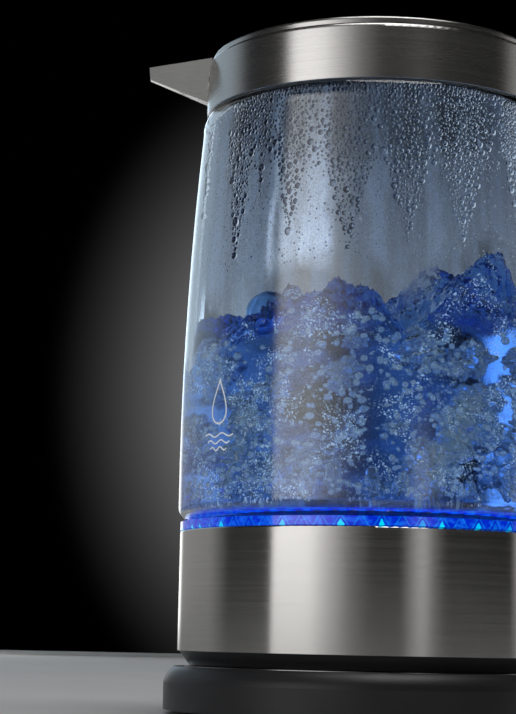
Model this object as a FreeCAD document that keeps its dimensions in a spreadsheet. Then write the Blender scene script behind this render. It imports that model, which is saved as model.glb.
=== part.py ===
"""Glass electric kettle on its 360 degree power base.

Frame: origin on the swivel axis at the table, +Z up, handle towards +X, spout towards -X. Millimetres.
"""
import math
import os

import FreeCAD
import Part
import Sketcher
from FreeCAD import Placement, Rotation, Vector

FULL_TURN = 360
SMALLEST_CUT = 0.01

# Driving dimensions. Heights are above the table, radii are from the swivel axis.
SIZES = {
    # power base
    "foot_height": 2.4, "foot_radius": 62, "foot_width": 8,
    "base_radius": 80, "base_underside": 1.6, "base_top": 18, "base_wall": 2.2,
    "plate_thickness": 2.4, "base_screw_ring": 48,
    "tower_radius": 13.5, "tower_top": 36, "tower_gap": 0.5,
    "gland_height": 10, "gland_radius": 4.8, "cord_radius": 3.4,
    # lower kettle
    "kettle_bottom": 18.6, "band_bottom": 24, "band_top": 70, "band_radius": 75, "band_sheet": 0.8,
    "ring_thickness": 3.3, "ring_inner": 66, "facet_count": 64, "facet_depth": 3, "facet_half": 2.6,
    "shelf_height": 60, "element_radius": 42, "housing_screw_ring": 62,
    # glass vessel
    "glass_wall": 3, "glass_radius": 75.95, "glass_widest": 90, "glass_bulge": 1500,
    "glass_corner": 6, "shoulder_start": 228, "shoulder_radius": 12, "neck_radius": 62.9,
    "neck_start": 239.6, "neck_top": 243,
    # collar, spout and lid
    "collar_bottom": 236, "collar_top": 257, "collar_radius": 68.3, "collar_sheet": 1,
    "mouth_radius": 60, "plug_radius": 57.3, "plug_bottom": 246, "lid_gap": 0.4, "lid_radius": 66.5,
    "lid_thickness": 2.6, "lid_dome": 1.6,
    "spout_reach": 92, "spout_half_width": 19, "spout_floor": 242.5, "spout_sheet": 1,
    "hinge_reach": 72, "hinge_height": 259.2, "knuckle_radius": 2.8, "pin_radius": 1.5,
    "pin_clearance": 0.06,
    # handle and switch
    "handle_height": 246, "handle_reach": 116, "handle_bend": 24, "handle_half_depth": 9,
    "handle_half_width": 13, "handle_wall": 2.2, "handle_corner": 6, "handle_foot": 68,
    "switch_bottom": 36, "switch_half_width": 14,
    "button_reach": 92, "button_length": 16, "button_half_width": 6, "catch_travel": 3, "button_height": 4.2,
    "lever_pivot_reach": 112, "lever_pivot_height": 46,
    "trip_reach": 94, "trip_height": 50, "arm_screw_height": 50, "arm_screw_spread": 9,
    "bracket_screw_height": 244,
}


class Size:
    """A length that carries its value and the sheet expression that gives it."""

    def __init__(self, value, text):
        self.value = float(value)
        self.text = text

    def __add__(self, other):
        other = as_size(other)
        return Size(self.value + other.value, f"({self.text} + {other.text})")

    def __sub__(self, other):
        other = as_size(other)
        return Size(self.value - other.value, f"({self.text} - {other.text})")

    def __mul__(self, other):
        other = as_size(other)
        return Size(self.value * other.value, f"({self.text} * {other.text})")

    def __truediv__(self, other):
        other = as_size(other)
        return Size(self.value / other.value, f"({self.text} / {other.text})")

    def __neg__(self):
        return Size(-self.value, f"(0 - {self.text})")


def as_size(item):
    """Wraps a plain number, and leaves a Size as it is."""
    if isinstance(item, Size):
        return item
    return Size(item, f"({float(item):.6f})")


class Dimensions:
    """The spreadsheet's cells, read by alias."""

    def __init__(self, document, sizes):
        self.sheet = document.addObject("Spreadsheet::Sheet", "dims")
        for row, (alias, value) in enumerate(sizes.items(), start=1):
            self.sheet.set(f"A{row}", alias.replace("_", " "))
            self.sheet.set(f"B{row}", str(value))
            self.sheet.setAlias(f"B{row}", alias)
        document.recompute()

    def __getattr__(self, alias):
        return Size(self.sheet.get(alias), f"dims.{alias}")


doc = FreeCAD.newDocument("kettle")
dims = Dimensions(doc, SIZES)
parts = []


# ---------------------------------------------------------------------------------------------------
# Sketches and features


def new_body(name):
    """A sub-part: its label names its file."""
    body = doc.addObject("PartDesign::Body", name)
    body.Label = name
    body.Placement = Placement()
    parts.append(body)
    return body


def body_named(name):
    """A sub-part that is already made."""
    return next(part for part in parts if part.Label == name)


def origin_feature(body, role):
    """One of the body's own origin planes or axes."""
    return next(item for item in body.Origin.OriginFeatures if item.Role == role)


def new_sketch(body, plane, name, offset=0):
    """An empty sketch on an origin plane, moved along the plane's normal."""
    sketch = body.newObject("Sketcher::SketchObject", f"{body.Name}_{name}")
    sketch.AttachmentSupport = (origin_feature(body, plane), [""])
    sketch.MapMode = "FlatFace"
    offset = as_size(offset)
    sketch.AttachmentOffset = Placement(Vector(0, 0, offset.value), Rotation())
    if offset.value:
        sketch.setExpression("AttachmentOffset.Base.z", offset.text)
    return sketch


def pin_point(sketch, geometry, position, across, along):
    """Holds one point of the sketch at its distances from the origin."""
    for kind, axis, size in (("DistanceX", -2, as_size(across)), ("DistanceY", -1, as_size(along))):
        if size.value == 0:
            sketch.addConstraint(Sketcher.Constraint("PointOnObject", geometry, position, axis))
            continue
        ends = (-1, 1, geometry, position)
        if size.value < 0:
            ends = (geometry, position, -1, 1)
            size = -size
        index = sketch.addConstraint(Sketcher.Constraint(kind, *ends, size.value))
        sketch.setExpression(f"Constraints[{index}]", size.text)


def arc_between(start, end, radius):
    """The shorter arc from start to end; a positive radius turns anticlockwise."""
    middle = (start + end) / 2
    chord = end - start
    left = Vector(-chord.y, chord.x, 0).normalize()
    rise = math.sqrt(max(radius ** 2 - (chord.Length / 2) ** 2, 0))
    centre = middle + left * math.copysign(rise, radius)
    first, last = (start, end) if radius > 0 else (end, start)
    first_angle = math.atan2(first.y - centre.y, first.x - centre.x)
    last_angle = math.atan2(last.y - centre.y, last.x - centre.x)
    return Part.ArcOfCircle(Part.Circle(centre, Vector(0, 0, 1), abs(radius)), first_angle, last_angle)


def outline(body, plane, name, points, offset=0, closed=True):
    """A sketch through the points, fully held by the sheet.

    A point is (across, along) before a straight run, or (across, along, radius) before an arc.
    """
    sketch = new_sketch(body, plane, name, offset)
    places = [Vector(as_size(point[0]).value, as_size(point[1]).value, 0) for point in points]
    runs = len(points) if closed else len(points) - 1
    ends = []
    for index in range(runs):
        start = places[index]
        end = places[(index + 1) % len(points)]
        radius = as_size(points[index][2]) if len(points[index]) > 2 else None
        if radius is None:
            sketch.addGeometry(Part.LineSegment(start, end), False)
            ends.append((1, 2))
            continue
        sketch.addGeometry(arc_between(start, end, radius.value), False)
        ends.append((1, 2) if radius.value > 0 else (2, 1))
        held = radius if radius.value > 0 else -radius
        constraint = sketch.addConstraint(Sketcher.Constraint("Radius", index, held.value))
        sketch.setExpression(f"Constraints[{constraint}]", held.text)
    for index in range(runs if closed else runs - 1):
        following = (index + 1) % runs
        sketch.addConstraint(
            Sketcher.Constraint("Coincident", index, ends[index][1], following, ends[following][0])
        )
    for index in range(runs):
        pin_point(sketch, index, ends[index][0], *points[index][:2])
    if not closed:
        pin_point(sketch, runs - 1, ends[-1][1], *points[-1][:2])
    return sketch


def circles(body, plane, name, centres, radius, offset=0):
    """A sketch of equal circles."""
    sketch = new_sketch(body, plane, name, offset)
    radius = as_size(radius)
    for index, (across, along) in enumerate(centres):
        centre = Vector(as_size(across).value, as_size(along).value, 0)
        sketch.addGeometry(Part.Circle(centre, Vector(0, 0, 1), radius.value), False)
        constraint = sketch.addConstraint(Sketcher.Constraint("Radius", index, radius.value))
        sketch.setExpression(f"Constraints[{constraint}]", radius.text)
        pin_point(sketch, index, 3, across, along)
    return sketch


def box_outline(left, right, bottom, top):
    """The four corners of a rectangle."""
    return [(left, bottom), (right, bottom), (right, top), (left, top)]


def rounded_outline(left, right, bottom, top, radius):
    """A rectangle with round corners."""
    left, right, bottom, top, radius = map(as_size, (left, right, bottom, top, radius))
    return [
        (left + radius, bottom), (right - radius, bottom, radius),
        (right, bottom + radius), (right, top - radius, radius),
        (right - radius, top), (left + radius, top, radius),
        (left, top - radius), (left, bottom + radius, radius),
    ]


def revolve(body, sketch, angle=FULL_TURN):
    """Turns a profile about the swivel axis."""
    feature = body.newObject("PartDesign::Revolution", f"{sketch.Name}_turned")
    feature.Profile = sketch
    feature.ReferenceAxis = (origin_feature(body, "Z_Axis"), [""])
    feature.Angle = angle
    feature.Midplane = angle != FULL_TURN
    doc.recompute()
    return feature


def pad(body, sketch, length, symmetric=False, backwards=False):
    """Raises a sketch by a length, to one side or half to each."""
    feature = body.newObject("PartDesign::Pad", f"{sketch.Name}_raised")
    feature.Profile = sketch
    feature.Length = as_size(length).value
    feature.setExpression("Length", as_size(length).text)
    feature.Midplane = symmetric
    feature.Reversed = backwards
    doc.recompute()
    return feature


def pocket(body, sketch, length, symmetric=False, backwards=False):
    """Sinks a sketch, and makes sure that something was cut."""
    before = body.Shape.Volume
    feature = body.newObject("PartDesign::Pocket", f"{sketch.Name}_sunk")
    feature.Profile = sketch
    feature.Length = as_size(length).value
    feature.setExpression("Length", as_size(length).text)
    feature.Midplane = symmetric
    feature.Reversed = backwards
    doc.recompute()
    if before - body.Shape.Volume < SMALLEST_CUT:
        raise ValueError(f"{feature.Name} cuts nothing")
    return feature


def round_long_edges(body, feature, radius):
    """Rounds the straight edges that run along X."""
    rounding = body.newObject("PartDesign::Fillet", f"{feature.Name}_rounded")
    names = []
    for index, edge in enumerate(feature.Shape.Edges, start=1):
        bounds = edge.BoundBox
        if bounds.XLength > 10 * max(bounds.YLength, bounds.ZLength):
            names.append(f"Edge{index}")
    rounding.Base = (feature, names)
    rounding.Radius = radius
    doc.recompute()
    return rounding


def repeat_round(body, feature, count):
    """Copies a feature evenly round the swivel axis."""
    pattern = body.newObject("PartDesign::PolarPattern", f"{feature.Name}_round")
    pattern.Originals = [feature]
    pattern.Axis = (origin_feature(body, "Z_Axis"), [""])
    pattern.Angle = FULL_TURN
    pattern.Occurrences = int(as_size(count).value)
    pattern.setExpression("Occurrences", as_size(count).text)
    body.Tip = pattern
    doc.recompute()
    return pattern


def turned(name, points, angle=FULL_TURN):
    """A sub-part turned about the swivel axis from (radius, height) points."""
    body = new_body(name)
    revolve(body, outline(body, "XZ_Plane", "profile", points), angle)
    return body


def ring(name, inner, outer, bottom, top):
    """A plain turned ring, or a disc when the inner radius is zero."""
    return turned(name, box_outline(inner, outer, bottom, top))


def block(name, left, right, half_width, bottom, top, rounding=0):
    """A box centred on the XZ plane."""
    body = new_body(name)
    half_width = as_size(half_width)
    sides = box_outline(left, right, bottom, top)
    if as_size(rounding).value:
        sides = rounded_outline(left, right, bottom, top, rounding)
    pad(body, outline(body, "XZ_Plane", "side", sides), half_width * 2, symmetric=True)
    return body


def grouped(name, shapes):
    """Identical small pieces in one node, each a solid of its own."""
    node = doc.addObject("Part::Feature", name)
    node.Label = name
    node.Shape = Part.makeCompound(shapes)
    node.Placement = Placement()
    parts.append(node)
    return node


def places_round(count, ring_radius, first_angle=0.0):
    """Points evenly round the axis, as (x, y)."""
    radius = as_size(ring_radius).value
    angles = [math.radians(first_angle + FULL_TURN * index / count) for index in range(count)]
    return [(radius * math.cos(angle), radius * math.sin(angle)) for angle in angles]


def coil(radius, wire_radius, pitch, height):
    """A round-wire coil standing on the origin along +Z."""
    along = Vector(0, 2 * math.pi * radius, pitch)
    start = Part.Wire(Part.makeCircle(wire_radius, Vector(radius, 0, 0), along))
    return Part.Wire(Part.makeHelix(pitch, height, radius)).makePipeShell([start], True, True)


def screws(name, places, head_bottom, head_height, head_radius, shank_radius, shank_top):
    """Pan head screws pointing up, with a hexagon recess in each head."""
    shapes = []
    for x, y in places:
        head = Part.makeCylinder(head_radius, head_height, Vector(x, y, head_bottom))
        top = head_bottom + head_height
        shank = Part.makeCylinder(shank_radius, shank_top - top, Vector(x, y, top))
        corners = [
            Vector(x + head_radius / 2 * math.cos(math.pi / 3 * turn),
                   y + head_radius / 2 * math.sin(math.pi / 3 * turn), head_bottom)
            for turn in range(7)
        ]
        recess = Part.Face(Part.makePolygon(corners)).extrude(Vector(0, 0, head_height / 2))
        shapes.append(head.fuse(shank).cut(recess).removeSplitter())
    return grouped(name, shapes)


# ---------------------------------------------------------------------------------------------------
# Power base

BASE_SCREWS = 4
BASE_SCREW_RADIUS = 1.5
BASE_HEAD_RADIUS = 2.8
BASE_HEAD_HEIGHT = 1.2
BOSS_RADIUS = 4
TRIM_INNER = 66
TRIM_OUTER = 72
TRIM_DEPTH = 0.6
RIM_DROP = 6
RIM_INSET = 4
RIM_CORNER = 8
FLANGE_BOTTOM = 6
FLANGE_THICKNESS = 3
FLANGE_WIDTH = 3
TOWER_CORNER = 2
CONTACT_RADII = (4, 7, 10)
CONTACT_WIDTH = 1
CONTACT_DEPTH = 1
CONTACT_HEIGHT = 1.6


def base_shell():
    """Upper moulding of the base: sloping rim, bore for the tower, screw bosses, cord hole."""
    outer, top, wall = dims.base_radius, dims.base_top, dims.base_wall
    bore = dims.tower_radius + dims.tower_gap
    body = turned("base_shell", [
        (outer - wall, dims.base_underside), (outer, dims.base_underside),
        (outer, top - RIM_DROP, RIM_CORNER), (outer - RIM_INSET, top), (TRIM_OUTER, top), (TRIM_OUTER, top - TRIM_DEPTH),
        (TRIM_INNER, top - TRIM_DEPTH), (TRIM_INNER, top), (bore, top),
        (bore, top - wall), (outer - wall - RIM_INSET - 0.8, top - wall, -RIM_DROP),
        (outer - wall, top - wall - RIM_DROP + 0.2),
    ])
    plate_top = dims.base_underside + dims.plate_thickness
    boss_height = top - wall - plate_top + 0.2
    boss = pad(body, circles(body, "XY_Plane", "boss", [(dims.base_screw_ring, 0)], BOSS_RADIUS,
                             plate_top), boss_height)
    repeat_round(body, boss, BASE_SCREWS)
    bore_sketch = circles(body, "XY_Plane", "screw_bore", [(dims.base_screw_ring, 0)],
                          BASE_SCREW_RADIUS, plate_top)
    repeat_round(body, pocket(body, bore_sketch, 9, backwards=True), BASE_SCREWS)
    pocket(body, circles(body, "XZ_Plane", "cord_hole", [(0, dims.gland_height)],
                         dims.gland_radius, -dims.base_radius - 2), 12, backwards=True)


def base_plate():
    """Underside of the base, with a groove for the foot and countersunk screw holes."""
    bottom = dims.base_underside
    top = bottom + dims.plate_thickness
    foot_inner = dims.foot_radius - dims.foot_width / 2
    foot_outer = dims.foot_radius + dims.foot_width / 2
    body = turned("base_plate", [
        (0, bottom), (foot_inner, bottom), (foot_inner, dims.foot_height), (foot_outer, dims.foot_height),
        (foot_outer, bottom), (dims.base_radius - dims.base_wall, bottom),
        (dims.base_radius - dims.base_wall, top), (0, top),
    ])
    places = [(dims.base_screw_ring, 0)]
    head = pocket(body, circles(body, "XY_Plane", "head", places, BASE_HEAD_RADIUS, bottom),
                  BASE_HEAD_HEIGHT, backwards=True)
    repeat_round(body, head, BASE_SCREWS)
    shank = pocket(body, circles(body, "XY_Plane", "shank", places, BASE_SCREW_RADIUS, bottom),
                   dims.plate_thickness, backwards=True)
    repeat_round(body, shank, BASE_SCREWS)


def tower():
    """Round connector that the kettle turns on: flange under the shell, three contact rings on top."""
    radius, top = dims.tower_radius, dims.tower_top
    flange_top = FLANGE_BOTTOM + FLANGE_THICKNESS
    turned("swivel_tower", [
        (0, FLANGE_BOTTOM), (radius + FLANGE_WIDTH, FLANGE_BOTTOM), (radius + FLANGE_WIDTH, flange_top),
        (radius, flange_top), (radius, top - TOWER_CORNER, TOWER_CORNER), (radius - TOWER_CORNER, top),
        *reversed(contact_grooves(top, top - CONTACT_DEPTH)), (0, top),
    ])
    contact_rings("tower_contacts", top.value - CONTACT_DEPTH)


def contact_grooves(face, floor):
    """Profile of the three ring grooves in a face, from the axis outwards."""
    points = []
    for inner in CONTACT_RADII:
        outer = inner + CONTACT_WIDTH
        points += [(inner, face), (inner, floor), (outer, floor), (outer, face)]
    return points


def contact_rings(name, bottom):
    """Three brass rings, one inside the other."""
    rings = []
    for inner in CONTACT_RADII:
        outer_face = Part.makeCylinder(inner + CONTACT_WIDTH, CONTACT_HEIGHT, Vector(0, 0, bottom))
        inner_face = Part.makeCylinder(inner, CONTACT_HEIGHT, Vector(0, 0, bottom))
        rings.append(outer_face.cut(inner_face))
    grouped(name, rings)


def cord_gland():
    """Ribbed bush that the mains cord enters by, at the rear of the base."""
    body = new_body("cord_gland")
    centre = [(0, dims.gland_height)]
    wall_outside = -dims.base_radius - 6
    pad(body, circles(body, "XZ_Plane", "bush", centre, dims.gland_radius, wall_outside), 14)
    pad(body, circles(body, "XZ_Plane", "lip", centre, dims.gland_radius + 1, -dims.base_radius - 3), 2)
    pocket(body, circles(body, "XZ_Plane", "bore", centre, dims.cord_radius, wall_outside - 1), 30,
           backwards=True)


def power_base():
    """Everything that stays on the table."""
    ring("foot_ring", dims.foot_radius - dims.foot_width / 2, dims.foot_radius + dims.foot_width / 2,
         0, dims.foot_height)
    base_plate()
    base_shell()
    ring("base_trim", TRIM_INNER, TRIM_OUTER, dims.base_top - TRIM_DEPTH, dims.base_top + 0.2)
    tower()
    cord_gland()
    block("terminal_block", 20, 34, 6, 4, 12, 1)
    screws("base_screws", places_round(BASE_SCREWS, dims.base_screw_ring), dims.base_underside.value,
           BASE_HEAD_HEIGHT, BASE_HEAD_RADIUS, BASE_SCREW_RADIUS, 12.5)


# ---------------------------------------------------------------------------------------------------
# Lower kettle

HOUSING_SCREWS = 3
HOUSING_SCREW_RADIUS = 1.5
HOUSING_HEAD_RADIUS = 3
HOUSING_HEAD_HEIGHT = 1.4
HOUSING_WALL = 2.4
HOUSING_BORE = 21
HOUSING_CHAMFER = 4
JOINT_HEIGHT = 34
BAND_LIP = 2.6
SHELF_THICKNESS = 2
SHELF_INNER = 54
RIB_INNER = 62.5
RIB_OUTER = 65.5
BOARD_THICKNESS = 1.6
LED_COUNT = 12
LED_LENGTH, LED_WIDTH, LED_HEIGHT = 3, 5, 2.2
SEAL_INNER = 60
PLATE_RADIUS = 63.5
PLATE_THICKNESS = 1.2
DIFFUSER_RADIUS = 50
DIFFUSER_THICKNESS = 3.2
ELEMENT_HALF_WIDTH = 4
ELEMENT_SWEEP = 300
PIN_LENGTH = 16
CONTROL_WAIST = 20.8
CONTROL_RADIUS = 28
CONTROL_STEP = 40
CONTROL_TOP = 64
DISC_RADIUS = 8
DISC_THICKNESS = 0.8
DISC_REACH = 15


def bottom_housing():
    """Dark moulding under the kettle, with the hole that the connector shows through."""
    bottom = dims.kettle_bottom
    outer = dims.band_radius - dims.band_sheet
    inner, floor_top = outer - HOUSING_WALL, bottom + HOUSING_WALL
    body = turned("bottom_housing", [
        (HOUSING_BORE, bottom), (outer - HOUSING_CHAMFER, bottom), (outer, dims.band_bottom),
        (outer, JOINT_HEIGHT), (inner, JOINT_HEIGHT), (inner, floor_top + 3.2), (inner - 3, floor_top),
        (HOUSING_BORE, floor_top),
    ])
    places = [(dims.housing_screw_ring, 0)]
    head = pocket(body, circles(body, "XY_Plane", "head", places, HOUSING_HEAD_RADIUS, bottom),
                  HOUSING_HEAD_HEIGHT, backwards=True)
    repeat_round(body, head, HOUSING_SCREWS)
    shank = pocket(body, circles(body, "XY_Plane", "shank", places, HOUSING_SCREW_RADIUS, bottom), 3,
                   backwards=True)
    repeat_round(body, shank, HOUSING_SCREWS)


def steel_band():
    """Brushed sleeve round the heater, with a turned-in lip under the light ring."""
    radius, sheet, top = dims.band_radius, dims.band_sheet, dims.band_top
    turned("steel_band", [
        (radius - sheet, dims.band_bottom), (radius, dims.band_bottom), (radius, top - sheet, sheet),
        (radius - sheet, top), (radius - BAND_LIP, top), (radius - BAND_LIP, top - sheet),
        (radius - sheet, top - sheet),
    ])


def chassis():
    """Inner frame: side wall, shelf for the lamp board, upright rib for the seal, screw bosses."""
    outer = dims.band_radius - dims.band_sheet
    shelf = dims.shelf_height
    rib_top = dims.band_top + dims.ring_thickness + 0.2
    inner, shelf_top = outer - HOUSING_WALL, shelf + SHELF_THICKNESS
    body = turned("chassis", [
        (inner, JOINT_HEIGHT), (outer, JOINT_HEIGHT), (outer, shelf_top), (RIB_OUTER, shelf_top),
        (RIB_OUTER, rib_top), (RIB_INNER, rib_top), (RIB_INNER, shelf_top), (SHELF_INNER, shelf_top),
        (SHELF_INNER, shelf), (inner, shelf),
    ])
    floor_top = dims.kettle_bottom + HOUSING_WALL
    boss = pad(body, circles(body, "XY_Plane", "boss", [(dims.housing_screw_ring, 0)], BOSS_RADIUS,
                             floor_top), shelf - floor_top + 0.5)
    repeat_round(body, boss, HOUSING_SCREWS)
    bore = circles(body, "XY_Plane", "bore", [(dims.housing_screw_ring, 0)], HOUSING_SCREW_RADIUS, floor_top)
    repeat_round(body, pocket(body, bore, 13, backwards=True), HOUSING_SCREWS)


def light_ring():
    """Clear ring that carries the light round the foot of the glass: smooth outside, prisms inside."""
    radius, bottom = dims.band_radius, dims.band_top
    top = bottom + dims.ring_thickness
    body = turned("light_ring", box_outline(dims.ring_inner, radius, bottom, top))
    mouth = dims.ring_inner - 0.4
    notch = outline(body, "XY_Plane", "facet", [
        (dims.ring_inner + dims.facet_depth, 0), (mouth, dims.facet_half), (mouth, -dims.facet_half),
    ], bottom)
    repeat_round(body, pocket(body, notch, dims.ring_thickness, backwards=True), dims.facet_count)


def lamp_board():
    """Annular circuit board with its lamps, under the light ring."""
    board_bottom = dims.shelf_height + SHELF_THICKNESS
    board_top = board_bottom + BOARD_THICKNESS
    board_outer = dims.band_radius - 3
    ring("lamp_board", dims.ring_inner, board_outer, board_bottom, board_top)
    lamp_reach = (dims.ring_inner.value + board_outer.value - LED_LENGTH) / 2
    lamps = []
    for index in range(LED_COUNT):
        lamp = Part.makeBox(LED_LENGTH, LED_WIDTH, LED_HEIGHT,
                            Vector(lamp_reach, -LED_WIDTH / 2, board_top.value))
        lamp.rotate(Vector(0, 0, 0), Vector(0, 0, 1), FULL_TURN * (index + 0.5) / LED_COUNT)
        lamps.append(lamp)
    grouped("lamps", lamps)


def heater():
    """Steel plate in its silicone seal, with the diffuser and the element brazed below it."""
    foot = dims.band_top + dims.ring_thickness
    plate_bottom = foot + 1.3
    plate_top = plate_bottom + PLATE_THICKNESS
    seal_bottom, seal_top = foot + 0.2, plate_top + PLATE_THICKNESS
    turned("glass_seal", [
        (SEAL_INNER, seal_bottom), (dims.ring_inner, seal_bottom), (dims.ring_inner, seal_top),
        (SEAL_INNER, seal_top), (SEAL_INNER, plate_top), (PLATE_RADIUS, plate_top),
        (PLATE_RADIUS, plate_bottom), (SEAL_INNER, plate_bottom),
    ])
    ring("heater_plate", 0, PLATE_RADIUS, plate_bottom, plate_top)
    diffuser_bottom = plate_bottom - DIFFUSER_THICKNESS
    ring("heat_diffuser", 0, DIFFUSER_RADIUS, diffuser_bottom, plate_bottom)
    inner = dims.element_radius - ELEMENT_HALF_WIDTH
    outer = dims.element_radius + ELEMENT_HALF_WIDTH
    turned("heating_element", [
        (inner, diffuser_bottom - 4, 4.6), (outer, diffuser_bottom - 4),
        (outer, diffuser_bottom), (inner, diffuser_bottom),
    ], ELEMENT_SWEEP)
    pins = []
    end_angle = math.radians((FULL_TURN - ELEMENT_SWEEP) / 2)
    pin_x = 0.5 - dims.element_radius.value * math.cos(end_angle)
    pin_y = dims.element_radius.value * math.sin(end_angle) - 3
    pin_foot = diffuser_bottom.value - PIN_LENGTH - 6
    for side in (-1, 1):
        pins.append(Part.makeCylinder(1.5, PIN_LENGTH, Vector(pin_x, side * pin_y, pin_foot)))
    grouped("element_pins", pins)


def control():
    """Connector and cut-out unit: socket for the tower below, two snap discs against the diffuser."""
    bottom, ceiling = dims.kettle_bottom + 0.2, dims.tower_top + 3
    socket = dims.tower_radius + 1.1
    body = turned("control_unit", [
        (socket, bottom), (CONTROL_WAIST, bottom), (CONTROL_WAIST, CONTROL_STEP),
        (CONTROL_RADIUS, CONTROL_STEP), (CONTROL_RADIUS, CONTROL_TOP), (0, CONTROL_TOP), (0, ceiling),
        *contact_grooves(ceiling, ceiling + CONTACT_DEPTH), (socket, ceiling),
    ])
    disc_bottom = dims.band_top + dims.ring_thickness - 1.9 - DISC_THICKNESS
    disc_places = [(-DISC_REACH, 0), (DISC_REACH, 0)]
    post_foot = CONTROL_TOP - 0.5
    pad(body, circles(body, "XY_Plane", "post", disc_places, 5, post_foot), disc_bottom - post_foot)
    grouped("snap_discs", [
        Part.makeCylinder(DISC_RADIUS, DISC_THICKNESS, Vector(x, y, disc_bottom.value))
        for x, y in disc_places
    ])
    contact_rings("socket_contacts", ceiling.value + CONTACT_DEPTH - CONTACT_HEIGHT)


def lower_kettle():
    """Sleeve, light, heater and control."""
    bottom_housing()
    steel_band()
    chassis()
    light_ring()
    lamp_board()
    heater()
    control()
    screws("housing_screws", places_round(HOUSING_SCREWS, dims.housing_screw_ring),
           dims.kettle_bottom.value, HOUSING_HEAD_HEIGHT, HOUSING_HEAD_RADIUS, HOUSING_SCREW_RADIUS,
           JOINT_HEIGHT - 1)


# ---------------------------------------------------------------------------------------------------
# Glass vessel


def side_radius(height, wall):
    """Radius of the bulging side at a height, the wall's thickness inside the outer face."""
    bulge = dims.glass_bulge - wall
    rise = as_size(height) - dims.glass_widest
    reach = Size(math.sqrt(bulge.value ** 2 - rise.value ** 2),
                 f"sqrt({bulge.text} ^ 2 - {rise.text} ^ 2)")
    return dims.glass_radius - wall - bulge + reach


def glass_body():
    """Blown vessel: flat foot, round corner, long bulging side, tight shoulder and short neck."""
    wall = dims.glass_wall
    foot = dims.band_top + dims.ring_thickness
    corner = dims.glass_corner
    side_start = foot + corner
    outer_low = side_radius(side_start, 0)
    outer_high = side_radius(dims.shoulder_start, 0)
    inner_low = side_radius(side_start, wall)
    inner_high = side_radius(dims.shoulder_start, wall)
    inner_corner = corner - wall
    turned("glass_body", [
        (dims.ring_inner, foot), (outer_low - corner, foot, corner), (outer_low, side_start, dims.glass_bulge),
        (outer_high, dims.shoulder_start, dims.shoulder_radius), (dims.neck_radius, dims.neck_start),
        (dims.neck_radius, dims.neck_top), (dims.neck_radius - wall, dims.neck_top),
        (dims.neck_radius - wall, dims.neck_start - 2, -dims.shoulder_radius + wall),
        (inner_high, dims.shoulder_start, -dims.glass_bulge + wall),
        (inner_low, side_start, -inner_corner), (inner_low - inner_corner, foot + wall),
        (dims.ring_inner, foot + wall),
    ])


# ---------------------------------------------------------------------------------------------------
# Collar, spout and lid

ABOVE = 250
THROUGH = 100
SEAL_THICKNESS = 2.6
LINER_WALL = 1.8
LINER_LIP = 2
COLLAR_CORNER = 1.5
LIP_HALF_WIDTH = 5
FILTER_FRONT, FILTER_BACK = -57.2, -55.6
FILTER_BOTTOM, FILTER_TOP = 216, 252
FILTER_HALF_WIDTH = 15
FILTER_RIM = 2.5
WIRE_SPACING = 1.4
WIRE_WIDTH, WIRE_DEPTH = 0.4, 0.3
LID_EDGE = 1.2
PLUG_WALL = 2.2
PLUG_FLOOR = 2.4
PLUG_FLAT = -53.6
LEAF_WIDTH = 11
LUG_WIDTH = 26
LUG_GAP = 19
LID_SPRING_RADIUS, LID_SPRING_WIRE, LID_SPRING_PITCH, LID_SPRING_HEIGHT = 2.3, 0.35, 0.8, 2.4
LID_SPRING_STARTS = (-8.8, 6.4)

def collar():
    """Steel collar over the shoulder, its inner frame, and the seal that grips the neck."""
    radius, sheet = dims.collar_radius, dims.collar_sheet
    bottom, top = dims.collar_bottom, dims.collar_top
    body = turned("top_collar", [
        (radius - sheet, bottom), (radius, bottom), (radius, top - COLLAR_CORNER, COLLAR_CORNER),
        (radius - COLLAR_CORNER, top),
        (dims.mouth_radius + 0.5, top), (dims.mouth_radius + 0.5, top - sheet), (radius - sheet, top - sheet),
    ])
    cut_spout_window(body)
    cut_latch_window(body)
    seal_outer = dims.neck_radius + SEAL_THICKNESS
    liner_outer, liner_bottom = radius - sheet, bottom + SEAL_THICKNESS
    liner_inner, lip_top = liner_outer - LINER_WALL, dims.neck_top + LINER_LIP
    liner = turned("collar_frame", [
        (seal_outer, liner_bottom), (liner_outer, liner_bottom), (liner_outer, top - sheet),
        (liner_inner, top - sheet), (liner_inner, lip_top), (dims.mouth_radius, lip_top),
        (dims.mouth_radius, dims.neck_top), (seal_outer, dims.neck_top),
    ])
    cut_spout_window(liner)
    cut_latch_window(liner)
    ring("neck_seal", dims.neck_radius, seal_outer, dims.neck_start + 0.6, dims.neck_top)


def cut_spout_window(body):
    """Opening in the collar that the water leaves by."""
    half_width = dims.spout_half_width - 3
    top, bend, floor = dims.collar_top - 1.6, dims.collar_top - 6, dims.neck_top + LINER_LIP
    window = outline(body, "YZ_Plane", "window", [
        (-half_width, top), (-half_width, bend), (-4, floor), (4, floor), (half_width, bend),
        (half_width, top),
    ], -dims.collar_radius - 2)
    pocket(body, window, 14, backwards=True)


def cut_latch_window(body):
    """Slot that the lid catch passes through, at the handle side."""
    height = dims.handle_height
    window = outline(body, "YZ_Plane", "catch", box_outline(-5, 5, height + 1.1, height + 5.1), 55)
    pocket(body, window, 20, backwards=True)


def spout_section(body, name, reach, half_width, floor, offset):
    """One open V section of the beak, at a reach from the axis."""
    top = dims.collar_top
    sheet = dims.spout_sheet
    inner_width = as_size(half_width) - sheet * 1.2
    return outline(body, "YZ_Plane", name, [
        (-as_size(half_width), top), (-as_size(offset), floor), (offset, floor), (half_width, top),
        (inner_width, top), (offset, as_size(floor) + sheet), (-as_size(offset), as_size(floor) + sheet),
        (-inner_width, top),
    ], -as_size(reach))


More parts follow.
